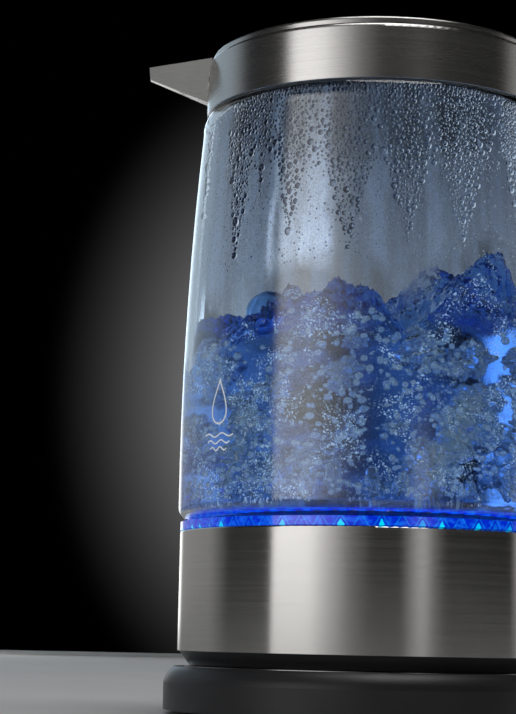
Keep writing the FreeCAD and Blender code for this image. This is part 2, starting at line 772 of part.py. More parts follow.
def spout():
    """Beak of folded sheet, wide where it leaves the collar and narrow at the lip."""
    body = new_body("spout")
    root = spout_section(body, "root", dims.collar_radius - 9, dims.spout_half_width + 4,
                         dims.spout_floor - 3, 4)
    tip = spout_section(body, "tip", dims.spout_reach, LIP_HALF_WIDTH, dims.collar_top - 4, 1.5)
    loft = body.newObject("PartDesign::AdditiveLoft", "spout_beak")
    loft.Profile = root
    loft.Sections = [tip]
    loft.Ruled = True
    doc.recompute()
    bore = circles(body, "XY_Plane", "collar", [(0, 0)], dims.collar_radius, ABOVE - THROUGH / 2)
    pocket(body, bore, THROUGH, backwards=True)


def spout_filter():
    """Fine screen in a frame, hanging behind the spout."""
    opening_bottom, opening_top = FILTER_BOTTOM + 3, FILTER_TOP - 8
    half_opening = FILTER_HALF_WIDTH - FILTER_RIM
    frame = new_body("filter_frame")
    rim = rounded_outline(-FILTER_HALF_WIDTH, FILTER_HALF_WIDTH, FILTER_BOTTOM, FILTER_TOP, 4)
    pad(frame, outline(frame, "YZ_Plane", "rim", rim, FILTER_FRONT), FILTER_BACK - FILTER_FRONT)
    opening = box_outline(-half_opening, half_opening, opening_bottom, opening_top)
    pocket(frame, outline(frame, "YZ_Plane", "gap", opening, FILTER_FRONT), 2, backwards=True)
    wires = []
    middle = (FILTER_FRONT + FILTER_BACK) / 2
    opening_height = opening_top - opening_bottom
    for index in range(1, math.ceil(2 * half_opening / WIRE_SPACING)):
        place = Vector(middle - WIRE_DEPTH, index * WIRE_SPACING - half_opening, opening_bottom)
        wires.append(Part.makeBox(WIRE_DEPTH, WIRE_WIDTH, opening_height, place))
    for index in range(1, math.ceil(opening_height / WIRE_SPACING)):
        place = Vector(middle - 0.1, -half_opening, opening_bottom + index * WIRE_SPACING)
        wires.append(Part.makeBox(WIRE_DEPTH, 2 * half_opening, WIRE_WIDTH, place))
    mesh = wires[0].multiFuse(wires[1:])
    grouped("filter_mesh", mesh.Solids)


def lid():
    """Steel cap over a hollow plug, with a soft ring round it and a hinge leaf at the handle side."""
    cap_bottom = dims.collar_top + dims.lid_gap
    cap_top = cap_bottom + dims.lid_thickness
    radius = dims.lid_radius
    flat_reach = radius - LID_EDGE
    dome_radius = (flat_reach * flat_reach + dims.lid_dome * dims.lid_dome) / (dims.lid_dome * 2)
    turned("lid_cap", [
        (0, cap_bottom), (radius, cap_bottom), (radius, cap_top - LID_EDGE, LID_EDGE),
        (flat_reach, cap_top, dome_radius), (0, cap_top + dims.lid_dome),
    ])
    plug, bottom = dims.plug_radius, dims.plug_bottom
    body = turned("lid_plug", [
        (0, bottom), (plug - 2, bottom, 2), (plug, bottom + 2), (plug, cap_bottom),
        (plug - PLUG_WALL, cap_bottom), (plug - PLUG_WALL, bottom + PLUG_FLOOR), (0, bottom + PLUG_FLOOR),
    ])
    beside_filter = box_outline(-60, PLUG_FLAT, -30, 30)
    flat = outline(body, "XY_Plane", "flat", beside_filter, bottom - 1)
    pocket(body, flat, 14, backwards=True)
    body = turned("lid_gasket", [
        (plug, bottom + 6), (plug + 1.6, bottom + 6.6), (plug + 1.6, bottom + 7.4), (plug, bottom + 8),
    ])
    gap = outline(body, "XY_Plane", "gap", beside_filter, bottom)
    pocket(body, gap, 14, backwards=True)
    hinge(cap_bottom)


def hinge(cap_bottom):
    """Leaf on the lid, lugs on the handle, the pin between them and the springs round the pin."""
    reach, height, knuckle = dims.hinge_reach, dims.hinge_height, dims.knuckle_radius
    leaf = new_body("hinge_leaf")
    pad(leaf, circles(leaf, "XZ_Plane", "knuckle", [(reach, height)], knuckle), LEAF_WIDTH, symmetric=True)
    web = outline(leaf, "XZ_Plane", "web", box_outline(64, reach, cap_bottom, cap_bottom + 2.4))
    pad(leaf, web, LEAF_WIDTH, symmetric=True)
    bore = circles(leaf, "XZ_Plane", "bore", [(reach, height)], dims.pin_radius + dims.pin_clearance)
    pocket(leaf, bore, THROUGH, symmetric=True)
    rim = circles(leaf, "XY_Plane", "rim", [(0, 0)], dims.lid_radius, ABOVE)
    pocket(leaf, rim, 20, backwards=True)
    lugs = new_body("hinge_lugs")
    handle_top = dims.handle_height + dims.handle_half_depth
    side = outline(lugs, "XZ_Plane", "lug", [
        (reach - 3, handle_top), (reach + 5, handle_top), (reach + 3, height, 3), (reach, height + 3, 3),
        (reach - 3, height),
    ])
    pad(lugs, side, LUG_WIDTH, symmetric=True)
    gap = outline(lugs, "XZ_Plane", "gap", box_outline(reach - 4, reach + 6, handle_top + 0.9, height + 5))
    pocket(lugs, gap, LUG_GAP, symmetric=True)
    pocket(lugs, circles(lugs, "XZ_Plane", "bore", [(reach, height)], dims.pin_radius), THROUGH,
           symmetric=True)
    pin = new_body("hinge_pin")
    pad(pin, circles(pin, "XZ_Plane", "round", [(reach, height)], dims.pin_radius), LUG_WIDTH + 1,
        symmetric=True)
    coils = []
    for start in LID_SPRING_STARTS:
        spring = coil(LID_SPRING_RADIUS, LID_SPRING_WIRE, LID_SPRING_PITCH, LID_SPRING_HEIGHT)
        spring.rotate(Vector(0, 0, 0), Vector(1, 0, 0), -90)
        spring.translate(Vector(reach.value, start, height.value))
        coils.append(spring)
    grouped("lid_springs", coils)


# ---------------------------------------------------------------------------------------------------
# Handle, button and switch

STEM_RADIUS = 2
STEM_LENGTH = 9
BUTTON_CORNER = 3
BUTTON_GAP = 0.4
BUTTON_SINK = 0.6
SPRING_RADIUS = 2.6
SPRING_WIRE = 0.3
SPRING_TURNS = 4
CATCH_PLAY = 0.35
BRACKET_REACH = 86
BRACKET_WIDTH = 9
BRACKET_HEIGHT = 8
BRACKET_SCREW_REACH = 71.6
TUBE_RADIUS, TUBE_BORE, TUBE_ASIDE = 1.9, 1.2, 8
ARM_CORNER = 3.5
ARM_WALL = 2.4
ARM_ROOM_START = 80
LEVER_WIDTH = 15
LEVER_HUB = 4
LEVER_TIP = 137
TRIP_WIDTH = 6
SCREW_RADIUS = 1.2
SCREW_HEAD_RADIUS = 2.2
SCREW_HEAD_HEIGHT = 1.6


def handle_path(body):
    """Centre line of the grip: out from the collar, round the bend and down."""
    height, reach, bend = dims.handle_height, dims.handle_reach, dims.handle_bend
    return outline(body, "XZ_Plane", "path", [
        (dims.collar_radius - 5, height), (reach - bend, height, -bend), (reach, height - bend),
        (reach, dims.handle_foot),
    ], closed=False)


def handle_half(name, side):
    """One moulded half of the hollow grip: side 1 faces away from the glass, side -1 towards it."""
    body = new_body(name)
    width, depth = dims.handle_half_width, dims.handle_half_depth
    wall, corner = dims.handle_wall, dims.handle_corner
    middle = dims.handle_height
    inner = corner - wall
    turn = -side

    def level(distance):
        return middle + as_size(distance) * side

    profile = outline(body, "YZ_Plane", "section", [
        (width, level(0)), (width, level(depth - corner), corner * -turn),
        (width - corner, level(depth)), (-(width - corner), level(depth), corner * -turn),
        (-width, level(depth - corner)), (-width, level(0)), (-(width - wall), level(0)),
        (-(width - wall), level(depth - corner), inner * turn),
        (-(width - corner), level(depth - wall)), (width - corner, level(depth - wall), inner * turn),
        (width - wall, level(depth - corner)), (width - wall, level(0)),
    ], dims.collar_radius - 5)
    path = handle_path(body)
    pipe = body.newObject("PartDesign::AdditivePipe", f"{name}_grip")
    pipe.Profile = profile
    pipe.Spine = (path, [""])
    doc.recompute()
    rim = circles(body, "XY_Plane", "collar", [(0, 0)], dims.collar_radius + 0.1, ABOVE - THROUGH / 2)
    pocket(body, rim, THROUGH, backwards=True)
    return body


def handle():
    """Grip in two halves, with the button window in the top of the outer one."""
    outer = handle_half("handle_outer", 1)
    reach, length, width = dims.button_reach, dims.button_length, dims.button_half_width
    half_length, half_width = length / 2 + BUTTON_GAP, width + BUTTON_GAP
    window = outline(outer, "XY_Plane", "button_window", rounded_outline(
        reach - half_length, reach + half_length, -half_width, half_width, BUTTON_CORNER + BUTTON_GAP), ABOVE)
    pocket(outer, window, 8, backwards=True)
    handle_half("handle_inner", -1)
    lower = dims.handle_height - dims.handle_half_depth + dims.handle_wall
    bracket = new_body("upper_bracket")
    root = dims.collar_radius + 0.1
    pad(bracket, outline(bracket, "XZ_Plane", "angle", [
        (root, lower), (BRACKET_REACH, lower), (BRACKET_REACH, lower + 1.6),
        (BRACKET_SCREW_REACH, lower + 1.6), (BRACKET_SCREW_REACH, lower + BRACKET_HEIGHT),
        (root, lower + BRACKET_HEIGHT),
    ]), BRACKET_WIDTH, symmetric=True)
    steam_tube()


def steam_tube():
    """Leads steam from the collar down the grip to the cut-out."""
    body = new_body("steam_tube")
    start, height = dims.collar_radius + 0.5, dims.handle_height - 1
    bend, down = dims.handle_bend, dims.handle_reach - 1
    path = outline(body, "XZ_Plane", "path", [
        (start, height), (dims.handle_reach - bend, height, -bend + 1), (down, dims.handle_height - bend),
        (down, 61),
    ], -TUBE_ASIDE, closed=False)
    section = circles(body, "YZ_Plane", "wall", [(TUBE_ASIDE, height)], TUBE_RADIUS, start)
    centre = Vector(TUBE_ASIDE, height.value, 0)
    section.addGeometry(Part.Circle(centre, Vector(0, 0, 1), TUBE_BORE), False)
    section.addConstraint(Sketcher.Constraint("Coincident", 1, 3, 0, 3))
    section.addConstraint(Sketcher.Constraint("Radius", 1, TUBE_BORE))
    pipe = body.newObject("PartDesign::AdditivePipe", "steam_tube_run")
    pipe.Profile = section
    pipe.Spine = (path, [""])
    doc.recompute()


def lid_release():
    """Thumb button, its spring, and the catch that it draws back from the lid."""
    reach, length, width = dims.button_reach, dims.button_length, dims.button_half_width
    top = dims.handle_height + dims.handle_half_depth
    button = new_body("lid_button")
    pad(button, outline(button, "XY_Plane", "cap", rounded_outline(
        reach - length / 2, reach + length / 2, -width, width, BUTTON_CORNER), top - BUTTON_SINK),
        dims.button_height)
    stem_foot = top - STEM_LENGTH
    pad(button, circles(button, "XY_Plane", "stem", [(reach, 0)], STEM_RADIUS, stem_foot), STEM_LENGTH)
    pad(button, circles(button, "XY_Plane", "foot", [(reach, 0)], 3.4, stem_foot), 1.2)
    floor = dims.handle_height - dims.handle_half_depth + dims.handle_wall
    spring_height = stem_foot.value - floor.value - 2 * SPRING_WIRE - 0.1
    spring = coil(SPRING_RADIUS, SPRING_WIRE, spring_height / SPRING_TURNS, spring_height)
    spring.translate(Vector(reach.value, 0, floor.value + SPRING_WIRE))
    grouped("button_spring", [spring])
    height = dims.handle_height
    catch = block("lid_catch", 58, 97.5, 4.2, height + 1.6, height + 4.6)
    nose = outline(catch, "XZ_Plane", "nose", [(57.5, height + 1.5), (61, height + 1.5), (57.5, height + 4.7)])
    pocket(catch, nose, 10, symmetric=True)
    half_slot = STEM_RADIUS + CATCH_PLAY
    slot = outline(catch, "XY_Plane", "slot", box_outline(
        reach - half_slot - dims.catch_travel, reach + half_slot, -half_slot, half_slot), ABOVE - THROUGH / 2)
    pocket(catch, slot, THROUGH, backwards=True)


def switch_housing():
    """Lower arm of the handle: a hollow block between the sleeve and the foot of the grip."""
    body = new_body("switch_housing")
    bottom, top = dims.switch_bottom, dims.handle_foot
    outer = dims.handle_reach + dims.handle_half_depth
    width = dims.switch_half_width
    side = outline(body, "XZ_Plane", "side", [
        (70, bottom), (outer - 6, bottom, 6), (outer, bottom + 6), (outer, top), (70, top),
    ])
    arm = pad(body, side, width * 2, symmetric=True)
    round_long_edges(body, arm, ARM_CORNER)
    room_end, inner, ceiling = outer - ARM_WALL - 4, outer - ARM_WALL, top - 2.6
    room = outline(body, "XZ_Plane", "room", [
        (ARM_ROOM_START, bottom - 1), (room_end, bottom - 1), (room_end, bottom + 4), (inner, bottom + 4),
        (inner, ceiling), (ARM_ROOM_START, ceiling),
    ])
    pocket(body, room, (width - ARM_WALL) * 2, symmetric=True)
    shaft = outline(body, "XY_Plane", "shaft", box_outline(
        dims.handle_reach - 6, dims.handle_reach + 6, -10.4, 10.4), top - 4)
    pocket(body, shaft, 6, backwards=True)
    slot = outline(body, "YZ_Plane", "slot", box_outline(-8.6, 8.6, bottom + 2.4, bottom + 17), outer - 4)
    pocket(body, slot, 8, backwards=True)
    sleeve = circles(body, "XY_Plane", "sleeve", [(0, 0)], dims.band_radius, bottom - 2)
    pocket(body, sleeve, 60, backwards=True)


def switch():
    """Rocker that sticks out under the grip, its pin, the trip arm and the steam cut-out behind it."""
    reach, height = dims.lever_pivot_reach, dims.lever_pivot_height
    inside_width = (dims.switch_half_width - ARM_WALL) * 2
    lever = new_body("switch_lever")
    pad(lever, circles(lever, "XZ_Plane", "hub", [(reach, height)], LEVER_HUB), LEVER_WIDTH, symmetric=True)
    paddle = outline(lever, "XZ_Plane", "paddle", [
        (reach, height - 2), (LEVER_TIP - 3, height - 4), (LEVER_TIP, height - 3, 3), (LEVER_TIP, height + 1),
        (reach, height + 3),
    ])
    pad(lever, paddle, LEVER_WIDTH, symmetric=True)
    tail = outline(lever, "XZ_Plane", "tail", box_outline(reach - 9, reach, height - 1, height + 2))
    pad(lever, tail, 8, symmetric=True)
    pocket(lever, circles(lever, "XZ_Plane", "bore", [(reach, height)],
                          dims.pin_radius + dims.pin_clearance), THROUGH, symmetric=True)
    pin = new_body("switch_pin")
    pad(pin, circles(pin, "XZ_Plane", "round", [(reach, height)], dims.pin_radius),
        inside_width, symmetric=True)
    trip = new_body("trip_arm")
    trip_reach, trip_height, trip_pin_radius = dims.trip_reach, dims.trip_height, as_size(1)
    pad(trip, circles(trip, "XZ_Plane", "hub", [(trip_reach, trip_height)], 2.6), TRIP_WIDTH,
        symmetric=True)
    arm = box_outline(trip_reach, trip_reach + 11, trip_height - 1.7, trip_height + 0.7)
    pad(trip, outline(trip, "XZ_Plane", "arm", arm), TRIP_WIDTH, symmetric=True)
    pocket(trip, circles(trip, "XZ_Plane", "bore", [(trip_reach, trip_height)],
                         trip_pin_radius + dims.pin_clearance), THROUGH, symmetric=True)
    trip_pin = new_body("trip_pin")
    pad(trip_pin, circles(trip_pin, "XZ_Plane", "round", [(trip_reach, trip_height)], trip_pin_radius),
        inside_width, symmetric=True)
    block("steam_cutout", ARM_ROOM_START, ARM_ROOM_START + 10, 6, 42, 60, 1)
    cover = new_body("switch_cover")
    bottom = dims.switch_bottom
    outer = dims.handle_reach + dims.handle_half_depth
    plate = box_outline(ARM_ROOM_START, outer - ARM_WALL - 4, bottom, bottom + 2)
    pad(cover, outline(cover, "XZ_Plane", "plate", plate), inside_width, symmetric=True)


def side_screws(name, bodies, places, head_reach, tip_reach):
    """Screws driven towards the swivel axis, with their holes in the bodies that they pass."""
    shapes = []
    for body in bodies:
        holes = circles(body, "YZ_Plane", f"{name}_holes", places, SCREW_RADIUS, tip_reach)
        pocket(body, holes, head_reach - tip_reach, backwards=True)
    for across, height in places:
        start = Vector(tip_reach, as_size(across).value, as_size(height).value)
        shank = Part.makeCylinder(SCREW_RADIUS, head_reach - tip_reach, start, Vector(1, 0, 0))
        seat = start + Vector(head_reach - tip_reach, 0, 0)
        head = Part.makeCylinder(SCREW_HEAD_RADIUS, SCREW_HEAD_HEIGHT, seat, Vector(1, 0, 0))
        shapes.append(shank.fuse(head).removeSplitter())
    grouped(name, shapes)


def fasteners():
    """The screws that hold the handle to the collar and to the sleeve."""
    upper = [body_named(name) for name in ("top_collar", "collar_frame", "upper_bracket")]
    side_screws("bracket_screw", upper, [(0, dims.bracket_screw_height)], BRACKET_SCREW_REACH, 66)
    lower = [body_named(name) for name in ("switch_housing", "steel_band", "chassis")]
    spread = dims.arm_screw_spread
    side_screws("arm_screws", lower, [(-spread, dims.arm_screw_height), (spread, dims.arm_screw_height)],
                ARM_ROOM_START, 69)


def check_and_write():
    """Stops on any failed object or bad shape, then writes each sub-part to its own file."""
    doc.recompute()
    for item in doc.Objects:
        if {"Invalid", "Error"} & set(item.State):
            raise ValueError(f"{item.Name} failed: {item.State}")
    os.makedirs("parts", exist_ok=True)
    for part in parts:
        if part.Shape.isNull() or not part.Shape.isValid():
            raise ValueError(f"{part.Label} has a bad shape")
        part.Shape.exportStep(f"parts/{part.Label}.step")


power_base()
lower_kettle()
glass_body()
collar()
spout()
spout_filter()
lid()
handle()
lid_release()
switch_housing()
switch()
fasteners()
check_and_write()
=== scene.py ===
"""Looks for the glass kettle: materials, water at the boil, mist and drops, light and camera."""

import math
import random

import bmesh
import bpy
from mathutils import Matrix, Vector, noise


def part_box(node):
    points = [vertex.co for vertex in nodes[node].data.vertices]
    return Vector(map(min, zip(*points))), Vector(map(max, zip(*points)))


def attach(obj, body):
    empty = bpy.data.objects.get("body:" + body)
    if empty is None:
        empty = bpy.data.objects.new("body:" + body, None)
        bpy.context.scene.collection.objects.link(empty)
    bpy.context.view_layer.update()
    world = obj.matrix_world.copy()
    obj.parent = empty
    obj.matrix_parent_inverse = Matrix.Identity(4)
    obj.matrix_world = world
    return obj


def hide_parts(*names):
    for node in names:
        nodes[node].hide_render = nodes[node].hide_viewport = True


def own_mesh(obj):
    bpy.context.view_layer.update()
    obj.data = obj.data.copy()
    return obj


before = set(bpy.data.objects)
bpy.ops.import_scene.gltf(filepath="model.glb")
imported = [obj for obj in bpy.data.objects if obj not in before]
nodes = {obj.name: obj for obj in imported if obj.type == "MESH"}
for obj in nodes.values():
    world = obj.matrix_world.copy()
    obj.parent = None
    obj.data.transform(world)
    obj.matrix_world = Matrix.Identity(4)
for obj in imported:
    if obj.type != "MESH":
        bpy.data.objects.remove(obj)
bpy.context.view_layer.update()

MM = 0.001
TURN = 2 * math.pi

# ---------------------------------------------------------------------------------------------------
# Places, some read from the imported model, the rest given in millimetres

ring_low, ring_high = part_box("light_ring")
BAND_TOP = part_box("steel_band")[1].z
GLASS_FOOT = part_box("glass_body")[0].z
GLASS_RADIUS = 75.95 * MM
GLASS_WALL = 3 * MM
GLASS_BULGE = 1500 * MM
GLASS_WIDEST = GLASS_FOOT + 16.7 * MM
SHOULDER = GLASS_FOOT + 154.7 * MM
SHOULDER_RADIUS = 12 * MM
WATER_LEVEL = GLASS_FOOT + 77 * MM


def glass_radius(height, inward=0.0):
    """Radius of the glass's outer face at a height, or of a face that lies inward of it."""
    bulge = GLASS_BULGE - inward
    radius = GLASS_RADIUS - GLASS_BULGE + math.sqrt(bulge ** 2 - (min(height, SHOULDER) - GLASS_WIDEST) ** 2)
    if height > SHOULDER:
        corner = SHOULDER_RADIUS - inward
        rise = min(height - SHOULDER, corner * 0.97)
        radius -= corner - math.sqrt(corner ** 2 - rise ** 2)
    return radius


def on_wall(angle, height, inward):
    """A point on the glass: angle 0 faces -Y, and positive angles turn towards +X."""
    radius = glass_radius(height, inward)
    return Vector((radius * math.sin(angle), -radius * math.cos(angle), height))


# ---------------------------------------------------------------------------------------------------
# Node helpers


class Shader:
    """A material's node tree, built with short calls."""

    def __init__(self, name):
        self.material = bpy.data.materials.new(name)
        self.material.use_nodes = True
        self.tree = self.material.node_tree
        self.tree.nodes.clear()
        self.output = self.node("ShaderNodeOutputMaterial")

    def node(self, kind, **settings):
        made = self.tree.nodes.new(kind)
        for key, value in settings.items():
            setattr(made, key, value)
        return made

    def put(self, target, value):
        """Links a socket to another, or sets its value."""
        if isinstance(value, bpy.types.NodeSocket):
            self.tree.links.new(value, target)
        else:
            target.default_value = value

    def coordinates(self, stretch=(1, 1, 1)):
        """Object coordinates in metres, stretched."""
        source = self.node("ShaderNodeTexCoord").outputs["Object"]
        mapping = self.node("ShaderNodeMapping")
        self.put(mapping.inputs["Vector"], source)
        self.put(mapping.inputs["Scale"], stretch)
        return mapping.outputs["Vector"]

    def noise(self, scale, detail=3.0, stretch=(1, 1, 1), roughness=0.5):
        made = self.node("ShaderNodeTexNoise")
        self.put(made.inputs["Vector"], self.coordinates(stretch))
        self.put(made.inputs["Scale"], scale)
        self.put(made.inputs["Detail"], detail)
        self.put(made.inputs["Roughness"], roughness)
        return made.outputs["Fac"]

    def fit(self, value, low, high, out_low, out_high, smooth=False):
        """Maps a range to another, clamped."""
        made = self.node("ShaderNodeMapRange", interpolation_type="SMOOTHSTEP" if smooth else "LINEAR")
        self.put(made.inputs["Value"], value)
        for name, number in zip(("From Min", "From Max", "To Min", "To Max"), (low, high, out_low, out_high)):
            self.put(made.inputs[name], number)
        return made.outputs["Result"]

    def math(self, operation, first, second=0.0):
        made = self.node("ShaderNodeMath", operation=operation)
        self.put(made.inputs[0], first)
        self.put(made.inputs[1], second)
        return made.outputs[0]

    def mix(self, factor, first, second):
        """Mixes two colours."""
        made = self.node("ShaderNodeMix", data_type="RGBA")
        self.put(made.inputs["Factor"], factor)
        self.put(made.inputs["A"], first)
        self.put(made.inputs["B"], second)
        return made.outputs["Result"]

    def blend(self, factor, first, second):
        """Mixes two shaders."""
        made = self.node("ShaderNodeMixShader")
        for index, value in enumerate((factor, first, second)):
            self.put(made.inputs[index], value)
        return made.outputs[0]

    def together(self, first, second):
        """Adds two shaders."""
        made = self.node("ShaderNodeAddShader")
        self.put(made.inputs[0], first)
        self.put(made.inputs[1], second)
        return made.outputs[0]

    def simple(self, kind, **sockets):
        """A one-node shader, such as Diffuse or Glass, with its sockets set."""
        made = self.node(f"ShaderNode{kind}")
        for name, value in sockets.items():
            self.put(made.inputs[name], value)
        return made.outputs[0]

    def bump(self, height, distance, strength=1.0):
        made = self.node("ShaderNodeBump")
        self.put(made.inputs["Height"], height)
        self.put(made.inputs["Distance"], distance)
        self.put(made.inputs["Strength"], strength)
        return made.outputs["Normal"]

    def axes(self):
        """The object coordinates apart: x, y and z."""
        made = self.node("ShaderNodeSeparateXYZ")
        self.put(made.inputs[0], self.coordinates())
        return made.outputs

    def principled(self, **sockets):
        made = self.node("ShaderNodeBsdfPrincipled")
        for name, value in sockets.items():
            self.put(made.inputs[name.replace("_", " ")], value)
        return made

    def finish(self, surface, volume=None):
        self.tree.links.new(surface, self.output.inputs["Surface"])
        if volume is not None:
            self.tree.links.new(volume, self.output.inputs["Volume"])
        return self.material


def colour(red, green, blue):
    return (red, green, blue, 1.0)


# ---------------------------------------------------------------------------------------------------
# Materials


def brushed_steel(name, tint, roughness, anisotropy=0.75, line_scale=9000):
    """Steel brushed round the swivel axis: fine lines, slow stains, and streaked highlights."""
    shader = Shader(name)
    lines = shader.noise(1, 4, (14, 14, line_scale), 0.7)
    wide_lines = shader.noise(1, 2, (9, 9, line_scale / 7))
    stains = shader.noise(28, 3)
    shade = shader.mix(shader.fit(lines, 0.3, 0.7, 0, 1), colour(*[c * 0.94 for c in tint]), colour(*tint))
    shade = shader.mix(shader.fit(stains, 0.4, 0.75, 0, 0.18), shade, colour(*[c * 0.7 for c in tint]))
    rough = shader.math("ADD", shader.fit(wide_lines, 0.3, 0.7, -0.012, 0.015),
                        shader.fit(lines, 0.3, 0.7, roughness - 0.015, roughness + 0.02))
    tangent = shader.node("ShaderNodeTangent", direction_type="RADIAL", axis="Z")
    body = shader.principled(
        Base_Color=shade, Metallic=1.0, Roughness=rough, Anisotropic=anisotropy, Anisotropic_Rotation=0.25,
        Tangent=tangent.outputs[0], Normal=shader.bump(lines, 0.00002, 0.35),
    )
    return shader.finish(body.outputs[0])


def plain_metal(name, tint, roughness, grain=900):
    """Small metal pieces: faint grain and dull patches."""
    shader = Shader(name)
    fine = shader.noise(grain, 4)
    patches = shader.noise(grain / 12, 2)
    shade = shader.mix(shader.fit(patches, 0.35, 0.7, 0, 1), colour(*tint), colour(*[c * 0.72 for c in tint]))
    rough = shader.fit(fine, 0.3, 0.7, roughness - 0.05, roughness + 0.1)
    body = shader.principled(Base_Color=shade, Metallic=1.0, Roughness=rough,
                             Normal=shader.bump(fine, 0.00003, 0.3))
    return shader.finish(body.outputs[0])


def moulded(name, tint, roughness, grain=2600, depth=0.00006, coat=0.0):
    """Moulded plastic: spark-eroded grain, slight change of tone, handling shine."""
    shader = Shader(name)
    cells = shader.node("ShaderNodeTexVoronoi", feature="SMOOTH_F1")
    shader.put(cells.inputs["Vector"], shader.coordinates())
    shader.put(cells.inputs["Scale"], grain)
    worn = shader.noise(40, 3)
    shade = shader.mix(shader.fit(worn, 0.35, 0.7, 0, 1), colour(*tint), colour(*[c * 1.25 for c in tint]))
    rough = shader.fit(worn, 0.35, 0.75, roughness + 0.05, roughness - 0.07)
    body = shader.principled(Base_Color=shade, Roughness=rough, Coat_Weight=coat, Coat_Roughness=0.08,
                             Normal=shader.bump(cells.outputs["Distance"], depth, 0.5))
    return shader.finish(body.outputs[0])


def soft_rubber(name, tint, roughness, clear=0.0):
    """Silicone and rubber: dusty, a little light let through."""
    shader = Shader(name)
    dust = shader.noise(500, 4)
    dusty = colour(*[min(c * 1.3, 1) for c in tint])
    shade = shader.mix(shader.fit(dust, 0.4, 0.7, 0, 1), colour(*tint), dusty)
    body = shader.principled(Base_Color=shade, Roughness=roughness, Transmission_Weight=clear, IOR=1.41,
                             Normal=shader.bump(dust, 0.00004, 0.4))
    return shader.finish(body.outputs[0])


def vessel_glass():
    """Clear borosilicate glass, with faint waviness."""
    shader = Shader("vessel_glass")
    waves = shader.noise(22, 2, (1, 1, 0.5))
    body = shader.principled(
        Base_Color=colour(0.93, 0.965, 1.0), Roughness=0.0, Transmission_Weight=1.0, IOR=1.5,
        Coat_Weight=0.35, Coat_IOR=1.5, Coat_Roughness=0.02, Normal=shader.bump(waves, 0.00008, 0.4),
    )
    return shader.finish(body.outputs[0])


def lit_ring():
    """Clear ring lit from within: deep blue, with a bright wedge over each prism and fainter arcs."""
    shader = Shader("lit_ring")
    x, y, z = shader.axes()
    around = shader.math("MULTIPLY", shader.math("ARCTAN2", y, x), PRISMS / TURN)
    cell = shader.math("ABSOLUTE", shader.math("SUBTRACT", shader.math("FRACT", around), 0.5))
    climb = shader.fit(z, ring_low.z, ring_high.z, 0, 1)
    ragged = shader.fit(shader.noise(260, 2), 0.3, 0.7, -0.09, 0.09)
    slope = shader.math("ADD", shader.fit(climb, 0.1, 0.72, 0.15, 0.0), shader.math("MULTIPLY", ragged, 0.5))
    wedge = shader.fit(shader.math("SUBTRACT", slope, cell), -0.015, 0.03, 0, 1, True)
    wedge = shader.math("MULTIPLY", wedge, shader.fit(climb, 0.66, 0.8, 1, 0))
    pick = shader.node("ShaderNodeTexWhiteNoise", noise_dimensions="1D")
    shader.put(pick.inputs["W"], shader.math("FLOOR", around))
    wedge = shader.math("MULTIPLY", wedge, shader.fit(pick.outputs["Value"], 0.2, 0.8, 0.05, 1))
    arch = shader.math("ABSOLUTE", shader.math("SUBTRACT", cell, shader.fit(climb, 0.0, 0.9, 0.36, 0.1)))
    arch = shader.fit(arch, 0.0, 0.06, 0.2, 0, True)
    patches = shader.fit(shader.noise(420, 3, (1, 1, 1.6)), 0.42, 0.72, 0, 0.5, True)
    deep = shader.mix(patches, colour(0.0, 0.012, 0.5), colour(0.01, 0.2, 1.0))
    shade = shader.mix(shader.math("MAXIMUM", wedge, arch), deep, colour(0.0, 0.72, 1.0))
    squares = shader.math("ADD", shader.math("POWER", x, 2.0), shader.math("POWER", y, 2.0))
    reach = shader.math("SQRT", squares)
    power = shader.fit(reach, ring_high.x - 2 * MM, ring_high.x - 1 * MM, RING_INNER_POWER, 1.0)
    body = shader.principled(
        Base_Color=colour(0.0, 0.03, 0.4), Roughness=0.12, Coat_Weight=1.0, Coat_Roughness=0.03,
        Emission_Color=shade, Emission_Strength=power,
    )
    return shader.finish(body.outputs[0])


def boiling_water(name, density, tint=(0.95, 0.98, 1.0)):
    """Water: refracting, blue with depth, its face crumpled by the boil."""
    shader = Shader(name)
    churn = shader.noise(330, 5, (1, 1, 0.8), 0.6)
    glassy = shader.simple("BsdfGlass", Color=colour(*tint), IOR=WATER_IOR, Roughness=0.0,
                           Normal=shader.bump(churn, 0.0004, 0.3))
    depth = shader.simple("VolumeAbsorption", Color=colour(0.08, 0.5, 0.95), Density=density)
    return shader.finish(glassy, depth)


def bubble_cloud_material(name, cells, cover, offset, glow):
    """A cloud of bubbles too small to model: round specks with a painted glow, gathered in plumes."""
    shader = Shader(name)
    shift = shader.node("ShaderNodeMapping")
    shader.put(shift.inputs["Vector"], shader.coordinates())
    shader.put(shift.inputs["Location"], offset)
    total = None
    for scale, size in ((cells, 0.28), (cells * 2.1, 0.34), (cells * 0.5, 0.2)):
        spots = shader.node("ShaderNodeTexVoronoi")
        shader.put(spots.inputs["Vector"], shift.outputs["Vector"])
        shader.put(spots.inputs["Scale"], scale)
        speck = shader.fit(spots.outputs["Distance"], size * 0.6, size, 1, 0, True)
        total = speck if total is None else shader.math("MAXIMUM", total, speck)
    plume = shader.node("ShaderNodeTexNoise")
    shader.put(plume.inputs["Vector"], shift.outputs["Vector"])
    shader.put(plume.inputs["Scale"], 62.0)
    shader.put(plume.inputs["Detail"], 4.0)
    shader.put(plume.inputs["Distortion"], 0.9)
    gathered = shader.fit(plume.outputs["Fac"], 0.5, 0.58, 0.0, 1, True)
    haze = shader.fit(plume.outputs["Fac"], 0.56, 0.72, 0, 0.08, True)
    specks = shader.math("MULTIPLY", total, gathered)
    amount = shader.math("MULTIPLY", shader.math("MAXIMUM", specks, haze), cover)
    tone = colour(0.85, 0.92, 1.0)
    both = shader.blend(0.5, shader.simple("BsdfDiffuse", Color=tone),
                        shader.simple("BsdfTranslucent", Color=tone))
    # Painted glow: the specks give off light of their own.
    spark = shader.simple("Emission", Color=colour(0.5, 0.72, 1.0), Strength=glow)
    clear = shader.simple("BsdfTransparent")
    return shader.finish(shader.blend(amount, clear, shader.together(both, spark)))


